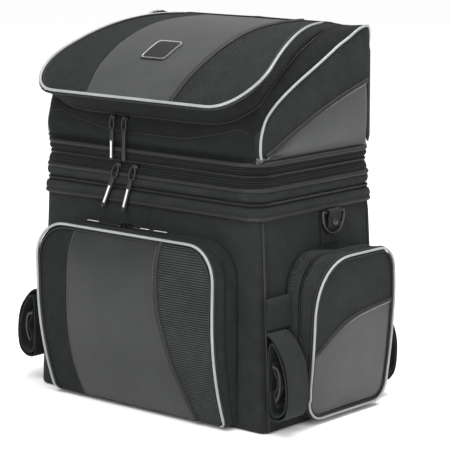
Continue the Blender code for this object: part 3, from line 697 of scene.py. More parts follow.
def band_rings():
    """The two bands above the body, as (height, proud, corner radius) levels, with their welts and zips."""
    low, high = Z_SPLIT + 0.0006, Z_MAIN_ZIP - 0.0006
    profile = [(low, 0.0004, 0.022), (0.2965, 0.0006, 0.023), (0.2985, 0.0010, 0.024),
               (0.2995, 0.0026, 0.025), (0.3025, 0.0040, 0.027), (0.3060, 0.0044, 0.028),
               (0.3095, 0.0034, 0.028), (0.3118, 0.0016, 0.028), (0.3132, 0.0016, 0.029),
               (0.3150, 0.0028, 0.029), (0.3190, 0.0034, 0.030), (0.3230, 0.0026, 0.030),
               (0.3262, 0.0012, 0.030), (0.3272, 0.0008, 0.030), (high, 0.0006, 0.030)]
    rows = [[p + outward(p) * nap(p, 0.0009, 18, 3.0) for p in wall_loop(*level)] for level in profile]
    rows += [wall_loop(high, -WALL, 0.028), wall_loop(low, -WALL, 0.021)]
    last = len(profile)

    def zone(r, c):
        if r < 2 or last - 3 < r < last:
            return 1
        if r >= last:
            return 2
        return 3 if r > 7 else 0
    # The ribbed cloth above the mid welt is darkened as painted shade between the welts.
    mats = ["nylon_wrap", "tape", "lining", "band_ribbed_shaded"]
    band = skin("expansion_cloth", rows, mats, zone, closed=True, ring=True)
    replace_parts(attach(band, "expansion"), "expansion_band")
    welt_round("expansion_welt", "expansion", wall_loop(Z_WELT_MID, 0.0024, 0.029))

    top = 0.3462
    profile = [(Z_MAIN_ZIP + 0.0006, 0.0006, 0.030), (0.3328, 0.0008, 0.031), (0.3338, 0.0012, 0.031),
               (0.3352, 0.0026, 0.032), (0.3385, 0.0036, 0.033), (0.3415, 0.0030, 0.034),
               (0.3438, 0.0014, 0.034), (0.3452, 0.0008, 0.034), (top, -0.0014, 0.033)]
    rows = [[p + outward(p) * nap(p, 0.0008, 18, 4.0) for p in wall_loop(*level)] for level in profile]
    rows += [wall_loop(z, -0.0042, 0.029) for z in (top, Z_MAIN_ZIP + 0.0006)]
    last = len(profile)

    def case_zone(r, c):
        if r < 2:
            return 1
        return 2 if r >= last else 0
    # The case band's ribbed cloth is darkened as painted shade between the welts.
    band = skin("case_band_cloth", rows, ["band_ribbed_shaded", "tape", "lining"], case_zone, closed=True, ring=True)
    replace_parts(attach(band, "top_case"), "case_band")
    welt_round("case_welt", "top_case", wall_loop(Z_WELT_TOP, 0.0022, 0.034))

    for name, z, grow, radius, lower, upper in (
            ("expansion_zip", Z_SPLIT, 0.0007, 0.021, "bag", "expansion"),
            ("main_zip", Z_MAIN_ZIP, 0.0009, 0.030, "expansion", "top_case")):
        path = wall_loop(z, grow, radius)
        zip_row(name + "_teeth_low", path, outward, -1, lower, closed=True)
        zip_row(name + "_teeth_high", path, outward, 1, upper, phase=0.5, closed=True)


def expanding_cloth():
    """The pleated cloth that the expansion zip lets out, and the cloth hinge behind the main zip."""
    low, high, inset, pleat, steps = 0.2885, 0.3018, WALL + 0.0006, 0.0045, 20
    rows = [wall_loop(lerp(low, high, k / steps),
                      -(inset + pleat * (0.5 - 0.5 * math.cos(math.pi * k / 2.5))), 0.028)
            for k in range(steps + 1)]
    cloth = skin("expansion_pleats", rows, ["nylon_wrap"], closed=True)
    thicken(cloth, 0.0008)
    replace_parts(cloth, "expansion_gusset")
    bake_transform(cloth)

    xs = [lerp(-0.150, 0.150, k / 60) for k in range(61)]
    rows = [[Vector((x, HALF_D + 0.0016 + 0.0022 * math.sin(math.pi * t / 12), 0.3205 + 0.0190 * t / 12))
             for x in xs] for t in range(13)]
    hinge = skin("main_hinge_cloth", rows, ["nylon_wrap"])
    thicken(hinge, 0.0010)
    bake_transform(hinge)


# ---------------------------------------------------------------- front pocket
def corner_inset(z, low, high, r_low, r_high):
    """How far a side edge steps in near a rounded corner at height z."""
    step = 0.0
    if z < low + r_low:
        step += r_low * (1 - math.sqrt(max(1 - ((low + r_low - z) / r_low) ** 2, 0.0)))
    if z > high - r_high:
        step += r_high * (1 - math.sqrt(max(1 - ((z - high + r_high) / r_high) ** 2, 0.0)))
    return step


def corner_rows(low, high, r_low, r_high, middle=20, around=9):
    """Heights from low to high, close together where the corners turn."""
    zs = [low + r_low * (1 - math.cos(math.pi / 2 * k / around)) for k in range(around)]
    zs += [lerp(low + r_low, high - r_high, k / middle) for k in range(middle)]
    zs += [high - r_high + r_high * math.sin(math.pi / 2 * k / around) for k in range(around + 1)]
    return zs


# The seams of the front face, as (height, x).
FP_LEFT_SEAM = [(0.006, -0.096), (0.038, -0.100), (0.085, -0.102), (0.145, -0.100), (0.182, -0.099),
                (0.210, -0.0965), (0.243, -0.089)]
FP_RIGHT_SEAM = [(0.006, 0.1025), (0.018, 0.1000), (0.048, 0.091), (0.080, 0.080), (0.113, 0.0715),
                 (0.139, 0.064), (0.167, 0.0587), (0.194, 0.0575), (0.216, 0.058), (0.243, 0.062)]
# The radii of the face's lower and upper corners, its heights, and its half widths at foot and top.
FP_CORNERS = (0.007, 0.046)
FP_FACE_LOW, FP_FACE_HIGH = 0.0062, 0.2410
FP_FOOT, FP_BROW = 0.1525, 0.1570


def three_runs(a, b, c, d, counts):
    """Positions from a to d in three even runs that meet at b and c."""
    made = [lerp(start, end, k / count)
            for start, end, count in zip((a, b, c), (b, c, d), counts) for k in range(count)]
    return made + [lerp(c, d, 1.0)]


def front_half(z, low=FP_FACE_LOW, high=FP_FACE_HIGH, foot=FP_FOOT, top=FP_BROW, radii=FP_CORNERS):
    """Half width of the front pocket at height z."""
    return lerp(foot, top, (z - low) / (high - low)) - corner_inset(z, low, high, *radii)


def front_y(z, share):
    """Distance y at a share of the front pocket's depth."""
    return -HALF_D - 0.0003 - front_depth(z) * share


def face_front():
    """The front pocket's face: two cloth panels with a coated panel between them."""
    columns = (12, 18, 14)
    rows = []
    for z in corner_rows(FP_FACE_LOW, FP_FACE_HIGH, *FP_CORNERS):
        half = front_half(z)
        left = max(curve_at(FP_LEFT_SEAM, z), -half + 0.004)
        right = min(curve_at(FP_RIGHT_SEAM, z), half - 0.004)
        along = math.sin(math.pi * clamp((z - FP_FACE_LOW) / (FP_FACE_HIGH - FP_FACE_LOW)))
        row = []
        for x in three_runs(-half, left, right, half, columns):
            across = max(1 - (x / half) ** 2, 0.0)
            crown = 0.0055 * across ** 0.6 * max(along, 0.0) ** 0.6
            row.append(Vector((x, front_y(z, 0.96) - crown + nap((x, 0, z), 0.0010, 16, 5.0) * across, z)))
        rows.append(row)
    a, b = columns[0], columns[0] + columns[1]

    def zone(r, c):
        return 0 if c < a else (1 if c < b else 2)
    face = skin("front_pocket_face", rows, ["nylon_front", "coated_front", "nylon_ribbed"], zone)
    swell(face, held_points(len(rows), (0, a, b, sum(columns))), TO_FRONT, 3.0, 0.004)
    return face


# Steps across the front pocket's foot and across its top.
FOOT_STEPS = 16


def around_front(share, low, high, foot, top, radii, extra=0.0):
    """A closed loop round the front pocket: up the right side, over the top, down the left, and back."""
    right = [Vector((front_half(z, low, high, foot, top, radii), front_y(z, share) - extra, z))
             for z in corner_rows(low, high, *radii)]
    left = [Vector((-p.x, p.y, p.z)) for p in reversed(right)]
    over = [right[-1].lerp(left[0], k / FOOT_STEPS) for k in range(1, FOOT_STEPS)]
    under = [left[-1].lerp(right[0], k / FOOT_STEPS) for k in range(1, FOOT_STEPS)]
    return right + over + left + under


def open_top(loop_points):
    """The part of a pocket loop that runs up one side, over the top and down the other."""
    return loop_points[:1 - FOOT_STEPS]


def away_from_front(point):
    """Direction along the wall away from the front pocket's middle."""
    return Vector((point.x * 0.9, 0, point.z - 0.125))


def front_pocket():
    """The front pocket: padded face, gusset in two parts that its zip joins, piping, seams and stitches."""
    face = face_front()
    tree = surface_tree(face)
    flap = "front_flap"
    rim = (FP_BOTTOM - 0.003, FP_TOP, FP_HALF_W - 0.002, FP_HALF_W - 0.001, (0.010, 0.048))
    edge_loop = (FP_FACE_LOW, FP_FACE_HIGH, FP_FOOT, FP_BROW, FP_CORNERS)
    facing = [away_from_front(p).normalized() for p in around_front(0.5, *rim)]

    def loop(share, blend, puff=0.0):
        a, b = around_front(share, *rim), around_front(share, *edge_loop)
        return [p.lerp(q, blend) + n * puff for p, q, n in zip(a, b, facing)]

    outer = [loop(0.53, 0.0, 0.0), loop(0.60, 0.05, 0.0012), loop(0.70, 0.25, 0.0018), loop(0.82, 0.55, 0.0016),
             loop(0.92, 0.85, 0.0008), loop(0.965, 1.0, 0.0)]
    gusset = skin("front_pocket_gusset_outer", outer, ["nylon_wrap"], closed=True)
    thicken(face, 0.0018)
    thicken(gusset, 0.0015)
    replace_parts(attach(face, flap), "front_pocket_flap")
    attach(gusset, flap)

    inner = [loop(0.0, 0.0, -0.0002), loop(0.10, 0.0, 0.0010), loop(0.24, 0.0, 0.0014), loop(0.38, 0.0, 0.0008),
             loop(0.47, 0.0, 0.0)]
    tuck = [0.0, 0.0010] + [0.0020] * 3  # the foot steps back off the body's base
    inner = [[p + Vector((0, back * max(1 - (p.z - FP_BOTTOM + 0.003) / 0.012, 0.0), 0)) for p in row]
             for back, row in zip(tuck, inner)]
    base = skin("front_pocket_gusset_inner", inner, ["nylon_wrap"], closed=True)
    thicken(base, 0.0015)
    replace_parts(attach(base, "bag"), "front_pocket_body")

    zip_path = open_top(loop(0.50, 0.0, -0.0004))
    zip_row("pocket_zip_teeth_inner", zip_path, away_from_front, 1, "bag")
    zip_row("pocket_zip_teeth_outer", zip_path, away_from_front, -1, flap, phase=0.5)
    for name, share, blend, puff, body in (("outer", 0.66, 0.15, 0.0016, flap),
                                           ("inner", 0.36, 0.0, 0.0016, "bag"),
                                           ("base", 0.06, 0.0, 0.0012, "bag")):
        row = open_top(loop(share, blend, puff))
        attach(stitches("pocket_stitches_" + name, row, away_from_front), body)

    def beside_edge(step, lift):
        """A run along the face's edge, step outside it and lift in front of it."""
        return even_path(open_top(around_front(1.0, FP_FACE_LOW - 0.0005, FP_FACE_HIGH + step, FP_FOOT + step,
                                               FP_BROW + step, FP_CORNERS, lift)), 0.004)
    piping = cord("front_pocket_piping_trim", beside_edge(0.0012, 0.0006), 0.0019, "piping", TO_FRONT, sides=12)
    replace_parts(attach(piping, flap), "front_pocket_piping")
    # Two thin dark cords just inside and outside the piping: painted shade in the creases beside it.
    for name, step, lift in (("inner", -0.0034, 0.0002), ("outer", 0.0024, -0.0026)):
        path = beside_edge(step, lift)
        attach(cord("front_pocket_shade_line_" + name, path, 0.0013, "coated_dark", TO_FRONT), flap)

    heights = [lerp(FP_FACE_LOW + 0.001, FP_FACE_HIGH - 0.0015, k / 60) for k in range(61)]
    right = [Vector((min(curve_at(FP_RIGHT_SEAM, z), front_half(z) - 0.005), -0.17, z)) for z in heights]
    left = [Vector((max(curve_at(FP_LEFT_SEAM, z), -front_half(z) + 0.005), -0.17, z)) for z in heights]
    seam = lay_on(moved(right, 0.0034), tree, TO_FRONT, 0.0008)
    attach(section_sweep("front_pocket_welt", seam, TO_FRONT, circle(0.0034, 10, 0.7), "coated_dark"), flap)
    # A thin light cord along the coated panel's right edge, in the piping's colour: a painted highlight.
    edge = lay_on(right, tree, TO_FRONT, 0.0004)
    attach(cord("front_pocket_seam_highlight_right", edge, 0.0009, "piping", TO_FRONT), flap)
    edge = lay_on(left, tree, TO_FRONT, 0.0)
    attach(cord("front_pocket_seam_left", edge, 0.0006, "coated_panel", TO_FRONT), flap)
    for name, path, shift in (("left", left, -0.004), ("right", right, 0.0095)):
        row = lay_on(moved(path, shift), tree, TO_FRONT, 0.0002)
        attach(stitches("front_pocket_stitches_" + name, row, TO_FRONT), flap)


# ---------------------------------------------------------------- side pockets
# The seam of the side face, as (y, height).
SP_SEAM = [(-0.062, 0.087), (-0.042, 0.100), (-0.020, 0.116), (0.003, 0.128), (0.026, 0.135), (0.049, 0.1385),
           (0.093, 0.143), (0.108, 0.1435)]
SP_FOOT_TAPER, SP_TAPER_Z = 0.0080, 0.055
SP_INSET = 0.0015
# The radii of the face's corners: low front, high front, low back and high back.
SP_RADII = (0.0235, 0.072, 0.0235, 0.027)
SP_BASE_RADIUS, SP_BASE_BULGE = 0.046, 0.0100
# The share of the pocket's depth at which its face lies.
SP_FACE = 0.965


def side_rows(columns=30, around=9):
    """Distances y across the side pocket's face, close together where the corners turn."""
    low, high = SP_Y0 + SP_INSET, SP_Y1 - SP_INSET
    r_front, r_back = SP_RADII[1], SP_RADII[3]
    ys = [low + r_front * (1 - math.cos(math.pi / 2 * k / around)) for k in range(around)]
    ys += [lerp(low + r_front, high - r_back, k / columns) for k in range(columns)]
    ys += [high - r_back + r_back * math.sin(math.pi / 2 * k / around) for k in range(around + 1)]
    return ys


def side_share(y):
    """How far y is along the face, from 0 at its front edge to 1 at its back edge."""
    return (y - SP_Y0 - SP_INSET) / (SP_Y1 - SP_Y0 - 2 * SP_INSET)


def side_low(y, grow=0.0):
    """The bottom edge at y."""
    low, high = SP_Y0 + SP_INSET - grow, SP_Y1 - SP_INSET + grow
    return SP_BOTTOM + SP_INSET - grow + corner_inset(y, low, high, SP_RADII[0] + grow, SP_RADII[2] + grow)


def side_high(y, grow=0.0, share=1.0):
    """The top edge at y; the front corner is tighter at the wall than at the face."""
    low, high = SP_Y0 + SP_INSET - grow, SP_Y1 - SP_INSET + grow
    radius = lerp(SP_BASE_RADIUS, SP_RADII[1], min(share, 1.0) ** 1.5)
    return SP_TOP - SP_INSET + grow - corner_inset(y, low, high, radius + grow, SP_RADII[3] + grow)


def side_point(side, share, y, z, extra=0.0):
    """A point at a share of the side pocket's depth; its front leans back near the foot."""
    taper = SP_FOOT_TAPER * max(1 - z / SP_TAPER_Z, 0.0) * (SP_Y1 - y) / (SP_Y1 - SP_Y0)
    return Vector((side * (wall_x(z) + 0.0003 + curve_at(SP_DEPTHS, z) * share + extra), y + taper * share, z))


def around_side(side, share, grow=0.0, extra=0.0):
    """A closed loop round a side pocket: along its foot from front to back, then back over its top."""
    low, high = SP_Y0 + SP_INSET - grow, SP_Y1 - SP_INSET + grow
    ys = [lerp(low, high, side_share(y)) for y in side_rows()]
    foot = [side_point(side, share, y, side_low(y, grow), extra) for y in ys]
    top = [side_point(side, share, y, side_high(y, grow, share), extra) for y in reversed(ys)]

    def span(a, b, steps=24):
        """Points between two ends, kept on the pocket's bellied depth."""
        return [side_point(side, share, lerp(a.y, b.y, k / steps), lerp(a.z, b.z, k / steps), extra)
                for k in range(1, steps)]
    return foot + span(foot[-1], top[0]) + top + span(top[-1], foot[0])


def away_from_side(point):
    """Direction along the wall away from the side pocket's middle."""
    return Vector((0.0, point.y - 0.024, (point.z - 0.113) * 0.8))


def side_pocket(side, tag):
    """A side pocket: padded face, gusset in two parts that its zip joins, piping, seam and stitches."""
    out = (side, 0, 0)
    low_rows, high_rows = 20, 16
    rows = []
    for y in side_rows():
        foot, top = side_low(y), side_high(y)
        seam = min(max(curve_at(SP_SEAM, y), foot + 0.002), top - 0.002)
        zs = [lerp(foot, seam, k / low_rows) for k in range(low_rows)]
        zs += [lerp(seam, top, k / high_rows) for k in range(high_rows + 1)]
        across = max(math.sin(math.pi * side_share(y)), 0.0) ** 0.6
        row = []
        for z in zs:
            v = clamp((z - foot) / max(top - foot, 1e-6))
            crown = 0.0030 * across * max(math.sin(math.pi * v), 0.0) ** 0.6
            row.append(side_point(side, SP_FACE, y, z, crown + nap((0, y, z), 0.0008, 20, 6.0 + side) * across))
        rows.append(row)

    def zone(r, c):
        return 0 if c < low_rows else 1
    face = skin(tag + "_pocket_face", rows, ["coated_side", "nylon_side"], zone)
    swell(face, held_points(len(rows), (0, low_rows, low_rows + high_rows)), out, 2.5, 0.003)
    tree = surface_tree(face)

    def puffed(share, puff, grow=0.0012):
        """The gusset's loop at a share of its depth; its upper front corner bulges further."""
        made = []
        for p in around_side(side, share, grow):
            high = clamp((p.z - 0.035) / 0.09) * clamp((0.03 - p.y) / 0.06)
            bulge = SP_BASE_BULGE * high * (1 - min(share / SP_FACE, 1.0) ** 2.2)
            made.append(p + away_from_side(p).normalized() * (puff + bulge))
        return made

    outer = [puffed(0.54, 0.0), puffed(0.62, 0.0012), puffed(0.74, 0.0017), puffed(0.86, 0.0010),
             puffed(SP_FACE, 0.0, grow=0.0)]
    gusset = skin(tag + "_pocket_gusset_outer", outer, ["nylon_side"], closed=True)
    thicken(face, 0.0016)
    thicken(gusset, 0.0014)
    flap = tag + "_side_flap"
    start, end = (Vector((side * 0.235, 0, SP_FOLD_Z + z)) for z in (-0.006, 0.006))
    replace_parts(face, tag + "_pocket_flap", tag + "_pocket_bib")
    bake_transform(face)
    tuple(start)
    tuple(end)
    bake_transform(gusset)
    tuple(start)
    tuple(end)

    inner = [puffed(0.0, -0.0004), puffed(0.12, 0.0010), puffed(0.28, 0.0013), puffed(0.46, 0.0)]
    base = skin(tag + "_pocket_gusset_inner", inner, ["nylon_side"], closed=True)
    thicken(base, 0.0014)
    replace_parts(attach(base, "bag"), tag + "_pocket_body")

    trim = even_path(around_side(side, 1.0, 0.0016, 0.0012), 0.004, True)
    piping = cord(tag + "_pocket_piping", trim, 0.0017, "piping", out, True, 12)
    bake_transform(piping)
    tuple(start)
    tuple(end)
    # Two thin dark cords just inside and outside the piping: painted shade in the creases beside it.
    for name, grow, lift in (("inner", -0.0024, 0.0006), ("outer", 0.0032, -0.0024)):
        loop = even_path(around_side(side, 1.0, grow, lift), 0.004, True)
        shade_line = cord(tag + "_pocket_shade_line_" + name, loop, 0.0013, "coated_dark", out, True)
        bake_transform(shade_line)
        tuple(start)
        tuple(end)

    def over_top(share, puff):
        """The run of the gusset's loop above the fold, from its back foot over the top to its front foot."""
        points = [p for p in puffed(share, puff) if p.z > SP_FOLD_Z + 0.001]
        first = min(range(len(points)), key=lambda i: points[i].z - (0.05 if points[i].y > 0.02 else 0.0))
        return points[first:] + points[:first]
    run = over_top(0.50, -0.0004)
    for row, toward, body, phase in (("inner", 1, "bag", 0.0), ("outer", -1, flap, 0.5)):
        zip_row("%s_pocket_teeth_%s" % (tag, row), run, away_from_side, toward * side, body, phase=phase)
    for row, share, body in (("inner", 0.36, "bag"), ("outer", 0.68, flap)):
        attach(stitches("%s_pocket_stitches_%s" % (tag, row), over_top(share, 0.0016), away_from_side), body)

    ys = [lerp(SP_Y0 + 0.0035, SP_Y1 - 0.0035, k / 50) for k in range(51)]
    seam = [Vector((side * 0.26, y, curve_at(SP_SEAM, y) + 0.0030)) for y in ys]
    welt = lay_on(seam, tree, out, 0.0006)
    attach(section_sweep(tag + "_pocket_welt", welt, out, circle(0.0030, 10, 0.7), "coated_dark"), flap)
    # A thin light cord along the coated panel's upper edge, in the piping's colour: a painted highlight.
    line = lay_on(moved(seam, z=-0.0032), tree, out, 0.0003)
    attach(cord(tag + "_pocket_seam_highlight", line, 0.0008, "piping", out), flap)
    line = lay_on(moved(seam, z=0.0055), tree, out, 0.0002)
    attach(stitches(tag + "_pocket_stitches_seam", line, out), flap)


# ---------------------------------------------------------------- top case
def visor_edge_z(y):
    """Height of the lid's edge at y."""
    u = (y - VISOR_FRONT_Y) / VISOR_SLOPE_RUN
    return VISOR_FRONT_Z + VISOR_RISE * (1 - max(1 - u, 0.0) ** VISOR_SLOPE_POWER)


def visor_half(y):
    """Half width of the lid at y, with its front corners rounded."""
    slope = (VISOR_BACK_W - VISOR_FRONT_W) / (VISOR_BACK_Y - VISOR_FRONT_Y)
    plain = VISOR_FRONT_W + slope * (y - VISOR_FRONT_Y)
    near = min((y - VISOR_FRONT_Y) / VISOR_CORNER, 1.0)
    return plain - VISOR_CORNER * (1 - math.sqrt(max(1 - (1 - near) ** 2, 0.0)))


def visor_top(x, y):
    """Height of the lid's crowned top."""
    reach = max(visor_half(y), 0.05)
    fade = 1 - clamp((y + 0.08) / 0.12)
    crown = VISOR_CROWN * fade * max(1 - (x / reach) ** 2, 0.0)
    return visor_edge_z(y) + crown * min((y - VISOR_FRONT_Y) / 0.03, 1.0)


# Seams on the upper case's sides, as (y, height): its shoulder and the diagonal across its panel.
SHOULDER = [(-0.1175, 0.376), (-0.110, 0.388), (-0.102, 0.397), (-0.092, 0.408), (-0.073, 0.422),
            (-0.041, 0.440), (0.005, 0.462), (0.029, 0.474), (0.065, 0.492), (0.089, 0.503), (0.110, 0.5065)]
CASE_DIAGONAL = [(-0.118, 0.3500), (-0.095, 0.3530), (-0.055, 0.371), (0.006, 0.397), (0.066, 0.418),
                 (0.118, 0.433)]
FRONT_STEPS, SIDE_STEPS, BACK_STEPS = 44, 44, 20
LEFT_START = FRONT_STEPS + SIDE_STEPS + BACK_STEPS


def case_ring(front, side, back):
    """Loop of points from three curves: the front left to right, the right side, the back, the left side."""
    loop = [front(-1 + 2 * k / FRONT_STEPS) for k in range(FRONT_STEPS + 1)]
    right = [side(k / SIDE_STEPS) for k in range(1, SIDE_STEPS)]
    loop += right
    loop += [back(1 - 2 * k / BACK_STEPS) for k in range(BACK_STEPS + 1)]
    loop += [Vector((-p.x, p.y, p.z)) for p in reversed(right)]
    return loop


def case_level(half_x, half_y, z, corner=0.012):
    """A level loop of the case with the corners rounded into its front and back runs."""
    inner_x, inner_y = half_x - corner, half_y - corner

    def run(s, y_sign):
        over = max(abs(s) - 0.9, 0.0) / 0.1
        turn = over * math.pi / 4
        x = inner_x + corner * math.sin(turn) if over else abs(s) / 0.9 * inner_x
        y = inner_y + corner * math.cos(turn) if over else half_y
        return Vector((math.copysign(x, s), y_sign * y, z))

    def side(s):
        if 0.06 <= s <= 0.94:
            return Vector((half_x, lerp(-inner_y, inner_y, (s - 0.06) / 0.88), z))
        turn = math.pi / 4 * (1 - min(min(s, 1 - s) / 0.06, 1.0))
        y = inner_y + corner * math.sin(turn)
        return Vector((inner_x + corner * math.cos(turn), math.copysign(y, s - 0.5), z))
    return case_ring(lambda s: run(s, -1), side, lambda s: run(s, 1))


def with_heights(loop, front_z, side_z, back_z):
    """The same loop with its heights set along its front, sides and back."""
    def height(i, p):
        if i <= FRONT_STEPS:
            return front_z(p.x)
        return back_z(p.x) if FRONT_STEPS + SIDE_STEPS <= i <= LEFT_START else side_z(p.y)
    return [Vector((p.x, p.y, height(i, p))) for i, p in enumerate(loop)]


def front_seam_z(x):
    """Height of the seam across the upper case's front."""
    rise = 0.022 * max((abs(x) - 0.060) / 0.107, 0.0) ** 1.3
    return 0.369 + rise * max(1 - max(abs(x) - 0.160, 0.0) / 0.045, 0.0)


def zip_ring(forward=0.0):
    """The upper edge of the case, where the lid's zip runs."""
    def front(s):
        return Vector((s * 0.1765, -0.1195 + 0.012 * abs(s) ** 10, 0.3915 + 0.024 * abs(s) ** 7))

    def side(s):
        rise = 1 - (1 - s) ** 1.9
        return Vector((0.1805 - 0.028 * s, -0.1075 + 0.2075 * s, 0.4155 + 0.0895 * rise))

    def back(s):
        return Vector((s * 0.1500, 0.1075 - forward, 0.5050))
    return case_ring(front, side, back)


def case_shell():
    """The upper case: lofted cloth with piping, welts and seams. It returns the ring of the lid's zip."""
    base = case_level(0.1880, 0.1180, Z_WELT_TOP + 0.0016)
    foot = case_level(0.1868, 0.1168, 0.352)
    diagonal = with_heights(case_level(0.1866, 0.1172, 0.36), lambda x: 0.3535,
                            lambda y: curve_at(CASE_DIAGONAL, y), lambda x: 0.433)
    shoulder = with_heights(case_level(0.1856, 0.1180, 0.40), front_seam_z,
                            lambda y: curve_at(SHOULDER, y), lambda x: 0.503)
    shoulder = [p + Vector((0, 0.004 * min((p.z - 0.35) / 0.15, 1.0) if p.y > 0.05 else 0.0, 0))
                for p in shoulder]
    zipper = zip_ring()
    low_steps, middle_steps, top_steps = 8, 14, 12
    rows = [base, foot]
    for a, b, steps, puff in ((foot, diagonal, low_steps, 0.0016), (diagonal, shoulder, middle_steps, 0.0026),
                              (shoulder, zipper, top_steps, 0.0020)):
        for t in (k / steps for k in range(1, steps + 1)):
            full = math.sin(math.pi * t)
            rows.append([m + outward(m) * (puff + nap(m, 0.0009, 15, 8.0)) * full
                         for m in (p.lerp(q, t) for p, q in zip(a, b))])
    low, high = 1 + low_steps, 1 + low_steps + middle_steps
    sides = {start + k for start in (FRONT_STEPS, LEFT_START) for k in range(SIDE_STEPS)}

    def zone(r, c):
        if r < low and c in sides:
            return 1
        if r >= high:
            return 2
        return 3 if c in sides else 0
    # The rows from the shoulder up to the lid's zip get the darker nylon: painted shade under the lid's
    # overhang.
    mats = ["nylon_front", "coated_panel", "nylon_shaded_under_lid", "nylon_side"]
    case = skin("case_cloth", rows, mats, zone, closed=True)
    tree = surface_tree(case)
    thicken(case, 0.0022)
    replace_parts(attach(case, "top_case"), "case_shell")

    for sign, tag in RIGHT_AND_LEFT:
        def on_side(x, y, z, sign=sign):
            return Vector((sign * x, y, z))
        out = (sign, 0, 0)
        edge = [on_side(*p) for p in shoulder[FRONT_STEPS:FRONT_STEPS + SIDE_STEPS + 1]]
        run = [on_side(0.1868, -0.1080, 0.3485), on_side(0.1868, -0.1105, 0.358),
               on_side(0.1864, -0.1100, 0.372), on_side(0.1862, -0.1070, 0.385)]
        run += [p for p in edge if -0.100 < p.y < 0.112][::3]
        run += [on_side(0.1825, 0.1150, 0.5030), on_side(0.1812, 0.1185, 0.4960),
                on_side(0.1808, 0.1185, 0.4800)]
        path = moved(fine_path(run, 0.004), sign * 0.0016, 0, 0.0006)
        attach(cord("case_side_piping_" + tag, path, 0.0018, "piping", out, sides=12), "top_case")
        back = [on_side(0.1812, 0.1190, 0.480).lerp(on_side(0.1836, 0.1168, 0.352), k / 16) for k in range(17)]
        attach(cord("case_back_welt_" + tag, back, 0.0030, "coated_dark", (sign, 1, 0)), "top_case")
        line = [on_side(0.2, y, curve_at(CASE_DIAGONAL, y))
                for y in (lerp(-0.100, 0.117, k / 60) for k in range(61))]
        welt = lay_on(moved(line, z=0.0030), tree, out, 0.0008)
        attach(section_sweep("case_diagonal_welt_" + tag, welt, out, circle(0.0032, 10, 0.7), "coated_dark"),
                "top_case")
        # A thin light cord along the coated panel's upper edge, in the piping's colour: a painted highlight.
        thin = lay_on(moved(line, z=-0.0004), tree, out, 0.0003)
        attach(cord("case_diagonal_seam_highlight_" + tag, thin, 0.0009, "piping", out), "top_case")
        row = lay_on(moved(line, z=0.0090), tree, out, 0.0002)
        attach(stitches("case_diagonal_stitches_" + tag, row, out), "top_case")
    seam = moved(shoulder[2:FRONT_STEPS - 1], y=-0.0003)
    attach(cord("case_front_seam", even_path(seam, 0.005), 0.0009, "coated_dark", TO_FRONT), "top_case")
    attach(stitches("case_front_stitches", moved(seam, 0, -0.0004, -0.004), TO_FRONT), "top_case")
    return zipper


def visor_outline():
    """The lid's edge as a case ring: front, right side, back, left side."""
    first = 0.010

    def front(s):
        x_front = visor_half(VISOR_FRONT_Y + 1e-6)
        if abs(s) <= 0.86:
            return Vector((s / 0.86 * x_front, VISOR_FRONT_Y, visor_edge_z(VISOR_FRONT_Y)))
        y = VISOR_FRONT_Y + first * ((abs(s) - 0.86) / 0.14) ** 2
        return Vector((math.copysign(visor_half(y), s), y, visor_edge_z(y)))

    def side(s):
        y = lerp(VISOR_FRONT_Y + first, VISOR_BACK_Y, s ** 1.35)
        return Vector((visor_half(y), y, visor_edge_z(y)))

    def back(s):
        return Vector((s * visor_half(VISOR_BACK_Y), VISOR_BACK_Y, visor_edge_z(VISOR_BACK_Y)))
    return case_ring(front, side, back)


# The edges of the lid's coated stripe, as (y, x), and a height above all of the lid.
STRIPE_LEFT = [(-0.150, -0.075), (-0.120, -0.082), (-0.080, -0.087), (-0.020, -0.088), (0.104, -0.084)]
STRIPE_RIGHT = [(-0.150, 0.072), (-0.120, 0.077), (-0.080, 0.080), (-0.020, 0.081), (0.104, 0.079)]
ABOVE_LID = 0.56


def lid_top():
    """The lid's crowned top: cloth at both sides and a coated stripe down the middle."""
    ys = [VISOR_FRONT_Y + VISOR_CORNER * (1 - math.cos(math.pi / 2 * k / 14)) for k in range(14)]
    ys += [lerp(VISOR_FRONT_Y + VISOR_CORNER, VISOR_BACK_Y, k / 40) for k in range(41)]
    columns = (14, 20, 14)
    rows = []
    for y in ys:
        half = visor_half(y)
        left, right = curve_at(STRIPE_LEFT, y), curve_at(STRIPE_RIGHT, y)
        rows.append([Vector((x, y, visor_top(x, y) + nap((x, y, 0), 0.0010, 12, 9.0) * (1 - (x / half) ** 2)))
                     for x in three_runs(-half, left, right, half, columns)])
    a, b = columns[0], columns[0] + columns[1]

    def zone(r, c):
        return 1 if a <= c < b else 0
    top = skin("lid_top", rows, ["nylon_top", "coated_panel"], zone)
    swell(top, held_points(len(rows), (0, a, b, sum(columns))), UPWARD, 2.0, 0.003)
    return top


def lid_hinge():
    """The cloth strip that the lid turns on, along the top case's back edge."""
    xs = [lerp(-0.112, 0.112, k / 44) for k in range(45)]
    low = Vector((0, 0.1110, 0.5000))
    high = Vector((0, 0.1025, visor_edge_z(0.1025) + 0.0014))
    bow = Vector((0, 0.0012, 0.0010))
    rows = [[Vector((x, 0, 0)) + low.lerp(high, t / 10) + bow * math.sin(math.pi * t / 10) for x in xs]
            for t in range(11)]
    strip = skin("lid_hinge_cloth", rows, ["nylon_wrap"])
    thicken(strip, 0.0010)
    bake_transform(strip)


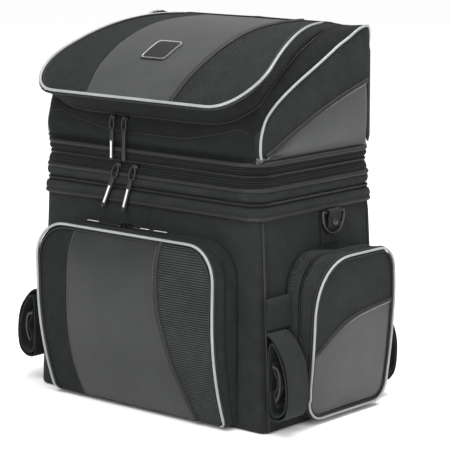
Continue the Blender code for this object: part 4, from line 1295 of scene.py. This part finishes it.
def lid(zipper):
    """The lid: hinge strip, crowned top, skirt, piping, seams, patch and zip."""
    lid_hinge()
    top = lid_top()
    tree = surface_tree(top)
    edge = visor_outline()
    rim = [low + (high - low).normalized() * 0.0015 for low, high in zip(zip_ring(0.0030), edge)]
    rows = [[p.lerp(q, k / 10) + outward(p.lerp(q, k / 10)) * (0.0060 * math.sin(math.pi * k / 10))
             for p, q in zip(rim, edge)] for k in range(11)]
    # The skirt under the lid's edge gets the darker nylon: painted shade.
    skirt = skin("lid_skirt", rows, ["nylon_shaded_under_lid"], closed=True)
    skirt_tree = surface_tree(skirt)
    thicken(top, 0.0020)
    thicken(skirt, 0.0018)
    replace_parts(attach(top, "visor"), "visor_lid")
    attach(skirt, "visor")

    order = [*range(LEFT_START + 1, LEFT_START + SIDE_STEPS), *range(FRONT_STEPS + SIDE_STEPS)]
    trim = [edge[i] + outward(edge[i]) * 0.0010 + Vector((0, 0, 0.0008)) for i in order]
    piping = cord("visor_piping_trim", fine_path(trim, 0.004), 0.0019, "piping", UPWARD, sides=12)
    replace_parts(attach(piping, "visor"), "visor_piping")
    # Two thin dark cords just inside and outside the piping: painted shade in the creases beside it.
    for name, step, drop in (("inner", -0.0036, 0.0010), ("outer", 0.0012, -0.0030)):
        ring = [edge[i] + Vector((edge[i].x, edge[i].y + 0.03, 0)).normalized() * step + Vector((0, 0, drop))
                for i in order]
        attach(cord("visor_shade_line_" + name, fine_path(ring, 0.004), 0.0013, "coated_dark", UPWARD), "visor")
    inner = [edge[i].lerp(zipper[i], 0.16) + outward(edge[i]) * 0.0006 for i in order]
    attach(stitches("lid_stitches_skirt", lay_near(inner, skirt_tree, 0.0002), outward), "visor")

    ys = [lerp(VISOR_FRONT_Y + 0.001, VISOR_BACK_Y - 0.001, k / 70) for k in range(71)]
    right = [Vector((curve_at(STRIPE_RIGHT, y), y, ABOVE_LID)) for y in ys]
    left = [Vector((curve_at(STRIPE_LEFT, y), y, ABOVE_LID)) for y in ys]
    welt = lay_on(moved(right, 0.0036), tree, UPWARD, 0.0008, reach=0.2)
    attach(section_sweep("lid_welt_right", welt, UPWARD, circle(0.0034, 10, 0.75), "coated_dark"), "visor")
    line = lay_on(left, tree, UPWARD, 0.0, reach=0.2)
    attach(cord("lid_seam_left", line, 0.0006, "coated_panel", UPWARD), "visor")
    for name, path, shift in (("left", left, -0.004), ("right", right, 0.0100)):
        row = lay_on(moved(path, shift), tree, UPWARD, 0.0002, reach=0.2)
        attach(stitches("lid_stitches_" + name, row, UPWARD), "visor")
    badge(tree)

    ring = zip_ring()
    run = [ring[i] + outward(ring[i]) * 0.0004 for i in order]
    zip_row("visor_zip_teeth_low", run, outward, -1, "top_case")
    zip_row("visor_zip_teeth_high", run, outward, 1, "visor", phase=0.5)


def lay_near(points, tree, lift):
    """Move points to the nearest place on a surface, lifted off it away from the bag."""
    made = []
    for point in points:
        hit, normal, _, _ = tree.find_nearest(Vector(point))
        if normal.dot(outward(hit)) < 0:
            normal = -normal
        made.append(hit + normal * lift)
    return made


def badge(tree):
    """A plain rounded patch with a raised light rim and nothing on its face."""
    half_x, half_y, radius = 0.0225, 0.0205, 0.006
    centre = Vector((-0.003, -0.083, ABOVE_LID))
    loops = []
    for grow, lift in ((0.0, -0.0004), (0.0, 0.0012), (-0.0007, 0.0019), (-0.0014, 0.0021), (-0.0022, 0.0021),
                       (-0.0028, 0.0016), (-0.0060, 0.0015), (-0.0120, 0.0015)):
        flat = rounded_loop(half_x + grow, half_y + grow, max(radius + grow * 0.4, 0.0012), 0.0, 5, 6)
        loops.append(lay_on([centre + p for p in flat], tree, UPWARD, lift, reach=0.2))

    def zone(r, c):
        return 1 if 3 <= r < 5 else 0
    patch = skin("badge_patch", loops, ["badge", "piping"], zone, closed=True, cap=True, sharp=30)
    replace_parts(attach(patch, "visor"), "badge")


# ---------------------------------------------------------------- zip sliders and pulls
def puller(name, body, way, face, length, tab_from, tab_width, stripes=(), eye_half=0.0030, eye_wire=0.0008,
           eye_mat="zinc"):
    """A pull: a metal eye ring, a cord loop, and a moulded tab with a light stripe, along a direction."""
    pivot, way, face = Vector(joint_of(body)["pos_m"]), Vector(way).normalized(), Vector(face).normalized()
    across = way.cross(face).normalized()
    reach = tab_from * 0.5
    eye = [pivot + way * (reach + (reach + 0.0006) * math.cos(a))
           + across * (eye_half * math.sin(a) * (1 + 0.35 * math.cos(a))) for a in turns(20)]
    parts = [cord(name + "_eye", eye, eye_wire, eye_mat, face, True, 8)]
    knot = [pivot + way * (tab_from - 0.0026 + 0.0030 * t) for t in (0, 0.33, 0.66, 1)]
    parts.append(section_sweep(name + "_loop", knot, face, strip_section(0.0042, 0.0022), "webbing"))
    stations = [(0.0, 0.55, 0.75), (0.04, 0.85, 1.0), (0.10, 1.0, 1.0), (0.5, 0.93, 1.0), (0.9, 1.0, 1.0),
                (0.97, 0.85, 0.95), (1.0, 0.5, 0.6)]
    rows = []
    half_w, half_t = tab_width / 2, 0.0013
    for share, wide, thick in stations:
        centre = pivot + way * lerp(tab_from, length, share)
        rows.append([centre + across * (half_w * wide * squarish(math.cos(a), 0.5))
                     + face * (half_t * thick * squarish(math.sin(a), 0.6)) for a in turns(16)])
    parts.append(skin(name + "_tab", rows, ["rubber"], closed=True, cap=True))
    for number, (start, end) in enumerate(stripes):
        line = [pivot + way * lerp(start, end, k / 8) + face * 0.0014 for k in range(9)]
        parts.append(section_sweep("%s_stripe_%d" % (name, number), line, face, strip_section(0.0028, 0.0005),
                                   "stripe"))
    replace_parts(parts[2], name)
    for item in parts:
        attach(item, body)


def slider(name, body, along, out, length=0.0092, width=0.0078):
    """A zip slider: a waisted body with a front plate and a bail for its pull."""
    height = 0.0040
    low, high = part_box(name)
    centre, along, out = (low + high) / 2, Vector(along).normalized(), Vector(out).normalized()
    across = along.cross(out).normalized()
    rows = []
    for level, grow in ((-0.5, 0.84), (-0.38, 1.0), (-0.12, 1.0), (-0.05, 0.80), (0.10, 0.80), (0.16, 1.0),
                        (0.42, 1.0), (0.5, 0.82)):
        row = []
        for c, s in ((math.cos(a), math.sin(a)) for a in turns(24)):
            waist = 1.0 - 0.26 * max(c, 0.0) ** 2
            row.append(centre + out * (height * level) + along * (length / 2 * grow * squarish(c, 0.6))
                       + across * (width / 2 * grow * waist * squarish(s, 0.7)))
        rows.append(row)
    item = skin(name + "_body", rows, ["zinc"], closed=True, cap=True, sharp=35)
    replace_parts(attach(item, body), name)
    bail = [centre + along * (length * 0.34 * math.cos(a)) + out * (height * 0.45 + 0.0019 * math.sin(a))
            for a in (math.pi * k / 10 for k in range(11))]
    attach(section_sweep(name + "_bail", bail, across, strip_section(0.0009, 0.0022), "zinc"), body)


def joint_of(body):
    """The frame's joint that carries a body."""
    return next(j for j in frame["joints"] if j["child"] == body)


def zips():
    """A slider and a pull on every zip."""
    down = (0, 0, -1)
    to_back = (0, 1, 0)
    for side, tag in ((-1, "left"), (1, "right")):
        left = tag == "left"
        slider("visor_slider_" + tag, "visor_zip_" + tag, SIDEWAYS, TO_FRONT)
        puller("visor_pull_" + tag, "visor_tab_" + tag, (0, -0.02, -1), TO_FRONT, 0.0585, 0.018, 0.0062,
               [(0.0330, 0.0555)] if left else (), eye_half=0.0036, eye_wire=0.0011, eye_mat="rubber")
        slider("main_slider_" + tag, "main_zip_" + tag, SIDEWAYS, TO_FRONT)
        lean = -0.030 if left else -0.022
        puller("main_pull_" + tag, "main_tab_" + tag, (lean, 0, -0.064), TO_FRONT, 0.0680, 0.021, 0.0076,
               [(0.0340, 0.0600)], eye_half=0.0048, eye_wire=0.0013, eye_mat="rubber")
        slider("pocket_slider_" + tag, "pocket_zip_" + tag, SIDEWAYS, UPWARD, 0.0085, 0.0066)
        puller("pocket_pull_" + tag, "pocket_tab_" + tag, (side, 0, 0), UPWARD, 0.0640, 0.010, 0.0058,
               [(0.0400, 0.0600)] if left else [(0.0140, 0.0290), (0.0380, 0.0600)])
        slider(tag + "_side_slider", tag + "_side_zip", UPWARD, TO_FRONT, 0.0085, 0.0066)
        puller(tag + "_side_pull", tag + "_side_tab", down, TO_FRONT, 0.0270, 0.008, 0.0048)
    slider("expansion_slider", "expansion_zip", SIDEWAYS, to_back)
    puller("expansion_pull", "expansion_tab", down, to_back, 0.0250, 0.008, 0.0048)


# ---------------------------------------------------------------- D-rings and straps
def turned_from(across, path):
    """The directions a strap faces along a path when its width lies across."""
    return [Vector(across).cross(t) * -1 for t in tangents(path)]


def ring_fitting(side, tag):
    """A D-ring in its folded webbing loop on the band, with the stitched patch and the rivet below it."""
    body, out = tag + "_ring", (side, 0, 0)
    pivot = Vector(joint_of(body)["pos_m"])
    half, drop = 0.0215, 0.0070
    path = [Vector((0, -half + 2 * half * k / 8, 0.0)) for k in range(9)]
    path += [Vector((0, half * math.cos(math.pi * k / 22), -drop - half * math.sin(math.pi * k / 22)))
             for k in range(23)]
    path = fine_path([pivot + p for p in path], 0.0018, True, fine=0.002)
    ring = cord(tag + "_d_ring_wire", path, 0.0019, "zinc", SIDEWAYS, True, 12)
    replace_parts(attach(ring, body), tag + "_d_ring")

    def on_wall(lift, y, z):
        return Vector((side * (wall_x(z) + lift), pivot.y + y, z))
    strip = [on_wall(0.0016, 0, z) for z in (0.2285, 0.236, 0.244, 0.252, 0.260, 0.268)]
    strip += [on_wall(0.0022, 0, 0.2715), on_wall(0.0060, 0, 0.2735), on_wall(0.0092, 0, 0.2725)]
    strip += [on_wall(0.0106, 0, 0.2695), on_wall(0.0090, 0, 0.2650), on_wall(0.0078, 0, 0.2590),
              on_wall(0.0076, 0, 0.2505)]
    path = fine_path(strip, 0.002)
    tab = strap(tag + "_ring_strap", path, turned_from(FORWARD, path), 0.025, 0.0016)
    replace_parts(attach(tab, "bag"), tag + "_ring_tab")
    base = [on_wall(0.0008, 0, z) for z in (0.2285, 0.240, 0.255, 0.270, 0.276)]
    patch = strap(tag + "_ring_patch", even_path(base, 0.003), out, 0.041, 0.0012)
    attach(patch, "bag")
    for z in (0.2310, 0.2350):
        row = [on_wall(0.0028 if abs(k) < 4 else 0.0016, k * 0.0033, z) for k in range(-5, 6)]
        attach(stitches("%s_ring_stitches_%d" % (tag, round(z * 1e4)), row, out), "bag")
    low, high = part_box(tag + "_rivet")
    centre = (low + high) / 2
    inner = min(abs(low.x), abs(high.x)) - 0.0002
    rows = []
    for lift, radius in ((0.0, 0.0046), (0.0006, 0.0047), (0.0013, 0.0042), (0.0018, 0.0030),
                         (0.0020, 0.0014), (0.0017, 0.0007)):
        rows.append([Vector((side * (inner + lift), centre.y + radius * math.cos(a),
                             centre.z + radius * math.sin(a))) for a in turns(24)])
    rivet = skin(tag + "_rivet_head", rows, ["zinc"], closed=True, cap=True, sharp=30)
    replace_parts(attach(rivet, "bag"), tag + "_rivet")


# The widths of the anchors and of the rolled webbing, and the height that the roll hangs from.
STRAP_WIDTH = 0.047
ROLL_WIDTH, ROLL_TOP = 0.040, 0.1330


def rolled_strap(tag, place, out_way, across_way, body, shift, drop=1.0):
    """A stitched anchor patch and the rolled strap under it, with its ladder buckle inside the roll."""
    foot, top = 0.1360, 0.1760
    flat = [place(0.0022, 0, z) for z in (foot - 0.002, foot + 0.010, foot + 0.020, foot + 0.030, top - 0.003)]
    fold = flat + [place(0.0030, 0, top), place(0.0046, 0, top - 0.0010), place(0.0050, 0, top - 0.006),
                   place(0.0046, 0, foot + 0.012), place(0.0044, 0, foot + 0.001)]
    path = fine_path(fold, 0.0025, fine=0.003)
    anchor = strap("anchor_strap_" + tag, path, turned_from(across_way, path), STRAP_WIDTH, 0.0017, ribs=14)
    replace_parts(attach(anchor, "bag"), "strap_anchor_" + tag)
    box = [(-0.019, 0.142), (0.019, 0.142), (0.019, 0.168), (-0.019, 0.168)]
    corners = [place(0.0062, u, v) for u, v in box]
    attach(stitches("anchor_box_" + tag, corners, out_way, closed=True, lift=0.0), "bag")
    for number, (a, b) in enumerate(((0, 2), (1, 3))):
        line = [corners[a].lerp(corners[b], k / 12) for k in range(13)]
        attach(stitches("anchor_cross_%s_%d" % (tag, number), line, out_way, lift=0.0), "bag")

    outer = [(0.0054, 0.1330), (0.0120, 0.1305), (0.0240, 0.1180), (0.0350, 0.0990), (0.0402, 0.0750),
             (0.0408, 0.0500), (0.0370, 0.0330), (0.0280, 0.0245), (0.0175, 0.0225), (0.0105, 0.0270),
             (0.0092, 0.0420), (0.0092, 0.0650), (0.0094, 0.0900), (0.0100, 0.1120), (0.0135, 0.1220),
             (0.0215, 0.1150), (0.0310, 0.0960), (0.0366, 0.0740), (0.0374, 0.0520), (0.0340, 0.0375),
             (0.0270, 0.0300), (0.0190, 0.0285), (0.0140, 0.0330), (0.0122, 0.0450), (0.0120, 0.0600)]

    def rolled(u, across, v):
        """A place on the roll; drop shortens the roll and shift moves it along the bag."""
        return place(u, across + shift, ROLL_TOP - (ROLL_TOP - v) * drop)
    path = fine_path([rolled(u * (1.0 if u < 0.006 else 1.04), 0.0, v) for u, v in outer], 0.0028, fine=0.003)
    roll = strap("strap_webbing_" + tag, path, turned_from(across_way, path), ROLL_WIDTH, 0.0019, ribs=14)
    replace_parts(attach(roll, body), "strap_roll_" + tag)
    tail = [(0.0160, 0.0980), (0.0180, 0.0860), (0.0230, 0.0760), (0.0225, 0.0660), (0.0180, 0.0560),
            (0.0210, 0.0460), (0.0240, 0.0400)]
    path = fine_path([rolled(u, 0.0, v) for u, v in tail], 0.0024, fine=0.002)
    tail = strap("strap_tail_" + tag, path, turned_from(across_way, path), ROLL_WIDTH - 0.004, 0.0017, ribs=12)
    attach(tail, body)
    ladder(tag, rolled, across_way, out_way, body)


def ladder(tag, place, across_way, out_way, body):
    """Ladder-lock buckle: two side rails joined by four bars."""
    rail = ROLL_WIDTH / 2 - 0.0030
    profile = [(0.0150, 0.0930), (0.0235, 0.0900), (0.0275, 0.0760), (0.0265, 0.0600), (0.0215, 0.0480)]
    parts = []
    for sign, end in ((1, "near"), (-1, "far")):
        path = fine_path([place(u, sign * rail, v) for u, v in profile], 0.003)
        parts.append(section_sweep("buckle_rail_%s_%s" % (tag, end), path, across_way,
                                   strip_section(0.0042, 0.0030), "buckle"))
    for number, (u, v) in enumerate(((0.0160, 0.0915), (0.0262, 0.0830), (0.0272, 0.0680), (0.0225, 0.0500))):
        line = [place(u, s * rail, v) for s in (-1, -0.33, 0.33, 1)]
        parts.append(cord("buckle_bar_%s_%d" % (tag, number), line, 0.0017, "buckle", out_way, sides=10))
    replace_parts(parts[0], "strap_buckle_" + tag)
    for item in parts:
        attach(item, body)


def straps():
    """The four rolled straps: one on each side near the front, and two on the back."""
    for side, tag in RIGHT_AND_LEFT:
        def on_side(out, across, z, side=side):
            return Vector((side * (wall_x(0.060) + out - 0.055 * max(z - 0.136, 0.0)), -0.0935 + across, z))

        def on_back(out, across, z, side=side):
            lean = 0.016 * clamp((0.145 - z) / 0.06)
            return Vector((side * (0.164 + across * 0.98 + lean), HALF_D + out, z))
        rolled_strap("front_" + tag, on_side, Vector((side, 0, 0)), Vector((0, side, 0)), "front_strap_" + tag,
                     -0.0085, 1.0 if side > 0 else 0.88)
        rolled_strap("rear_" + tag, on_back, Vector((0, 1, 0)), Vector((-1, 0, 0)), "rear_strap_" + tag, 0.0040)


# ---------------------------------------------------------------- back and base
def back_sleeve():
    """The sissy-bar sleeve: a bound panel with a stitched border, open at its foot."""
    low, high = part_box("sissy_bar_sleeve")
    half_x, half_y, middle_y = high.x, (high.y - low.y) / 2, (low.y + high.y) / 2
    levels = [low.z] + [lerp(low.z + 0.004, high.z - 0.004, k / 18) for k in range(19)] + [high.z - 0.001]
    rows = []
    for z in levels:
        t = (z - low.z) / (high.z - low.z)
        row = []
        for p in rounded_loop(half_x, half_y, 0.004, z, 4, 24):
            full = 0.0014 * math.sin(math.pi * t) * max(1 - (p.x / half_x) ** 4, 0.0)
            out = full + nap(p, 0.0008, 18, 11.0) if p.y > 0 else 0.0
            row.append(Vector((p.x, middle_y + p.y + out, z)))
        rows.append(row)
    top = [Vector((p.x * 0.985, lerp(p.y, middle_y, 0.3), high.z)) for p in rows[-1]]
    inner = [moved(rounded_loop(half_x - 0.0015, half_y - 0.0015, 0.003, z, 4, 24), y=middle_y)
             for z in (high.z - 0.0015, low.z)]
    sleeve = skin("sleeve_cloth", inner + rows + [top], ["nylon_front"], closed=True, cap=True)
    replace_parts(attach(sleeve, "bag"), "sissy_bar_sleeve")
    border = [Vector((x * (half_x - 0.007), high.y + 0.0008, z)) for x, z in (
        (-1, low.z + 0.008), (-1, high.z - 0.008), (1, high.z - 0.008), (1, low.z + 0.008))]
    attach(stitches("sleeve_stitches", border, FORWARD, lift=0.0002), "bag")
    for sign, tag in RIGHT_AND_LEFT:
        edge = [Vector((sign * (half_x - 0.001), high.y - 0.002, z)) for z in levels]
        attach(cord("sleeve_binding_" + tag, edge, 0.0016, "coated_dark", (sign, 1, 0)), "bag")


def carried_nodes():
    """Materials for the frame's own pieces that stay in sight."""
    looks = {"base_board": "board", "wall_board": "board", "case_floor": "lining", "lining": "lining",
             "base_pad": "rubber"}
    for name, key in looks.items():
        data = frame["nodes"][name].data
        data.materials.clear()
        data.materials.append(MATS[key])


# ---------------------------------------------------------------- studio
def point_at(name, data, way, place=(0, 0, 0)):
    """Put a camera or lamp in the scene, looking along a direction."""
    item = place_in_scene(bpy.data.objects.new(name, data))
    item.location = place
    item.rotation_euler = Vector(way).to_track_quat("-Z", "Y").to_euler()
    return item


def studio():
    """Camera, white world, soft overhead sun, four area lamps and a pale floor."""
    azimuth, elevation, distance = math.radians(40.93), math.radians(10.41), 2.828
    target = Vector((0.0337, 0.0, 0.2358))
    back = Vector((math.sin(azimuth) * math.cos(elevation), -math.cos(azimuth) * math.cos(elevation),
                   math.sin(elevation)))
    data = bpy.data.cameras.new("camera")
    data.lens, data.sensor_width, data.clip_end = 168.0, 36.0, 50
    scene = bpy.context.scene
    scene.camera = point_at("camera", data, -back, target + back * distance)

    scene.view_settings.view_transform = "Standard"
    world = bpy.data.worlds.new("studio")
    world.use_nodes = True
    colour, strength = world.node_tree.nodes["Background"].inputs[:2]
    colour.default_value, strength.default_value = (1.0, 1.0, 1.0, 1.0), 0.46
    scene.world = world

    sky = bpy.data.lights.new("overhead", "SUN")
    sky.energy, sky.angle = 2.25, math.radians(48)
    point_at("overhead", sky, (-0.30, 0.55, -1.0))
    for name, place, aim, size, power in (
            ("key", (-0.6, -1.9, 2.4), (0, 0, 0.3), 1.2, 18),
            ("corner", (0.6, -1.6, 0.6), (0.16, 0, 0.2), 0.7, 13),
            ("side", (2.4, -0.5, 0.9), (0, 0, 0.20), 1.0, 19),
            ("top", (0.3, 0.7, 2.2), (0, 0, 0.45), 1.0, 46)):
        lamp = bpy.data.lights.new(name, "AREA")
        lamp.energy, lamp.size = power, size
        point_at(name, lamp, Vector(aim) - Vector(place), place)

    half, sink = 12.0, -0.0002
    mesh = bpy.data.meshes.new("floor")
    mesh.from_pydata([(x, y, sink) for y in (-half, half) for x in (-half, half)], [], [(0, 1, 3, 2)])
    mesh.materials.append(new_material("floor_paint", (0.94, 0.94, 0.94), 0.85)[0])
    place_in_scene(bpy.data.objects.new("floor", mesh))


def main():
    studio()
    carried_nodes()
    main_body()
    band_rings()
    expanding_cloth()
    front_pocket()
    for side, tag in RIGHT_AND_LEFT:
        side_pocket(side, tag)
        ring_fitting(side, tag)
    lid(case_shell())
    zips()
    straps()
    back_sleeve()


main()
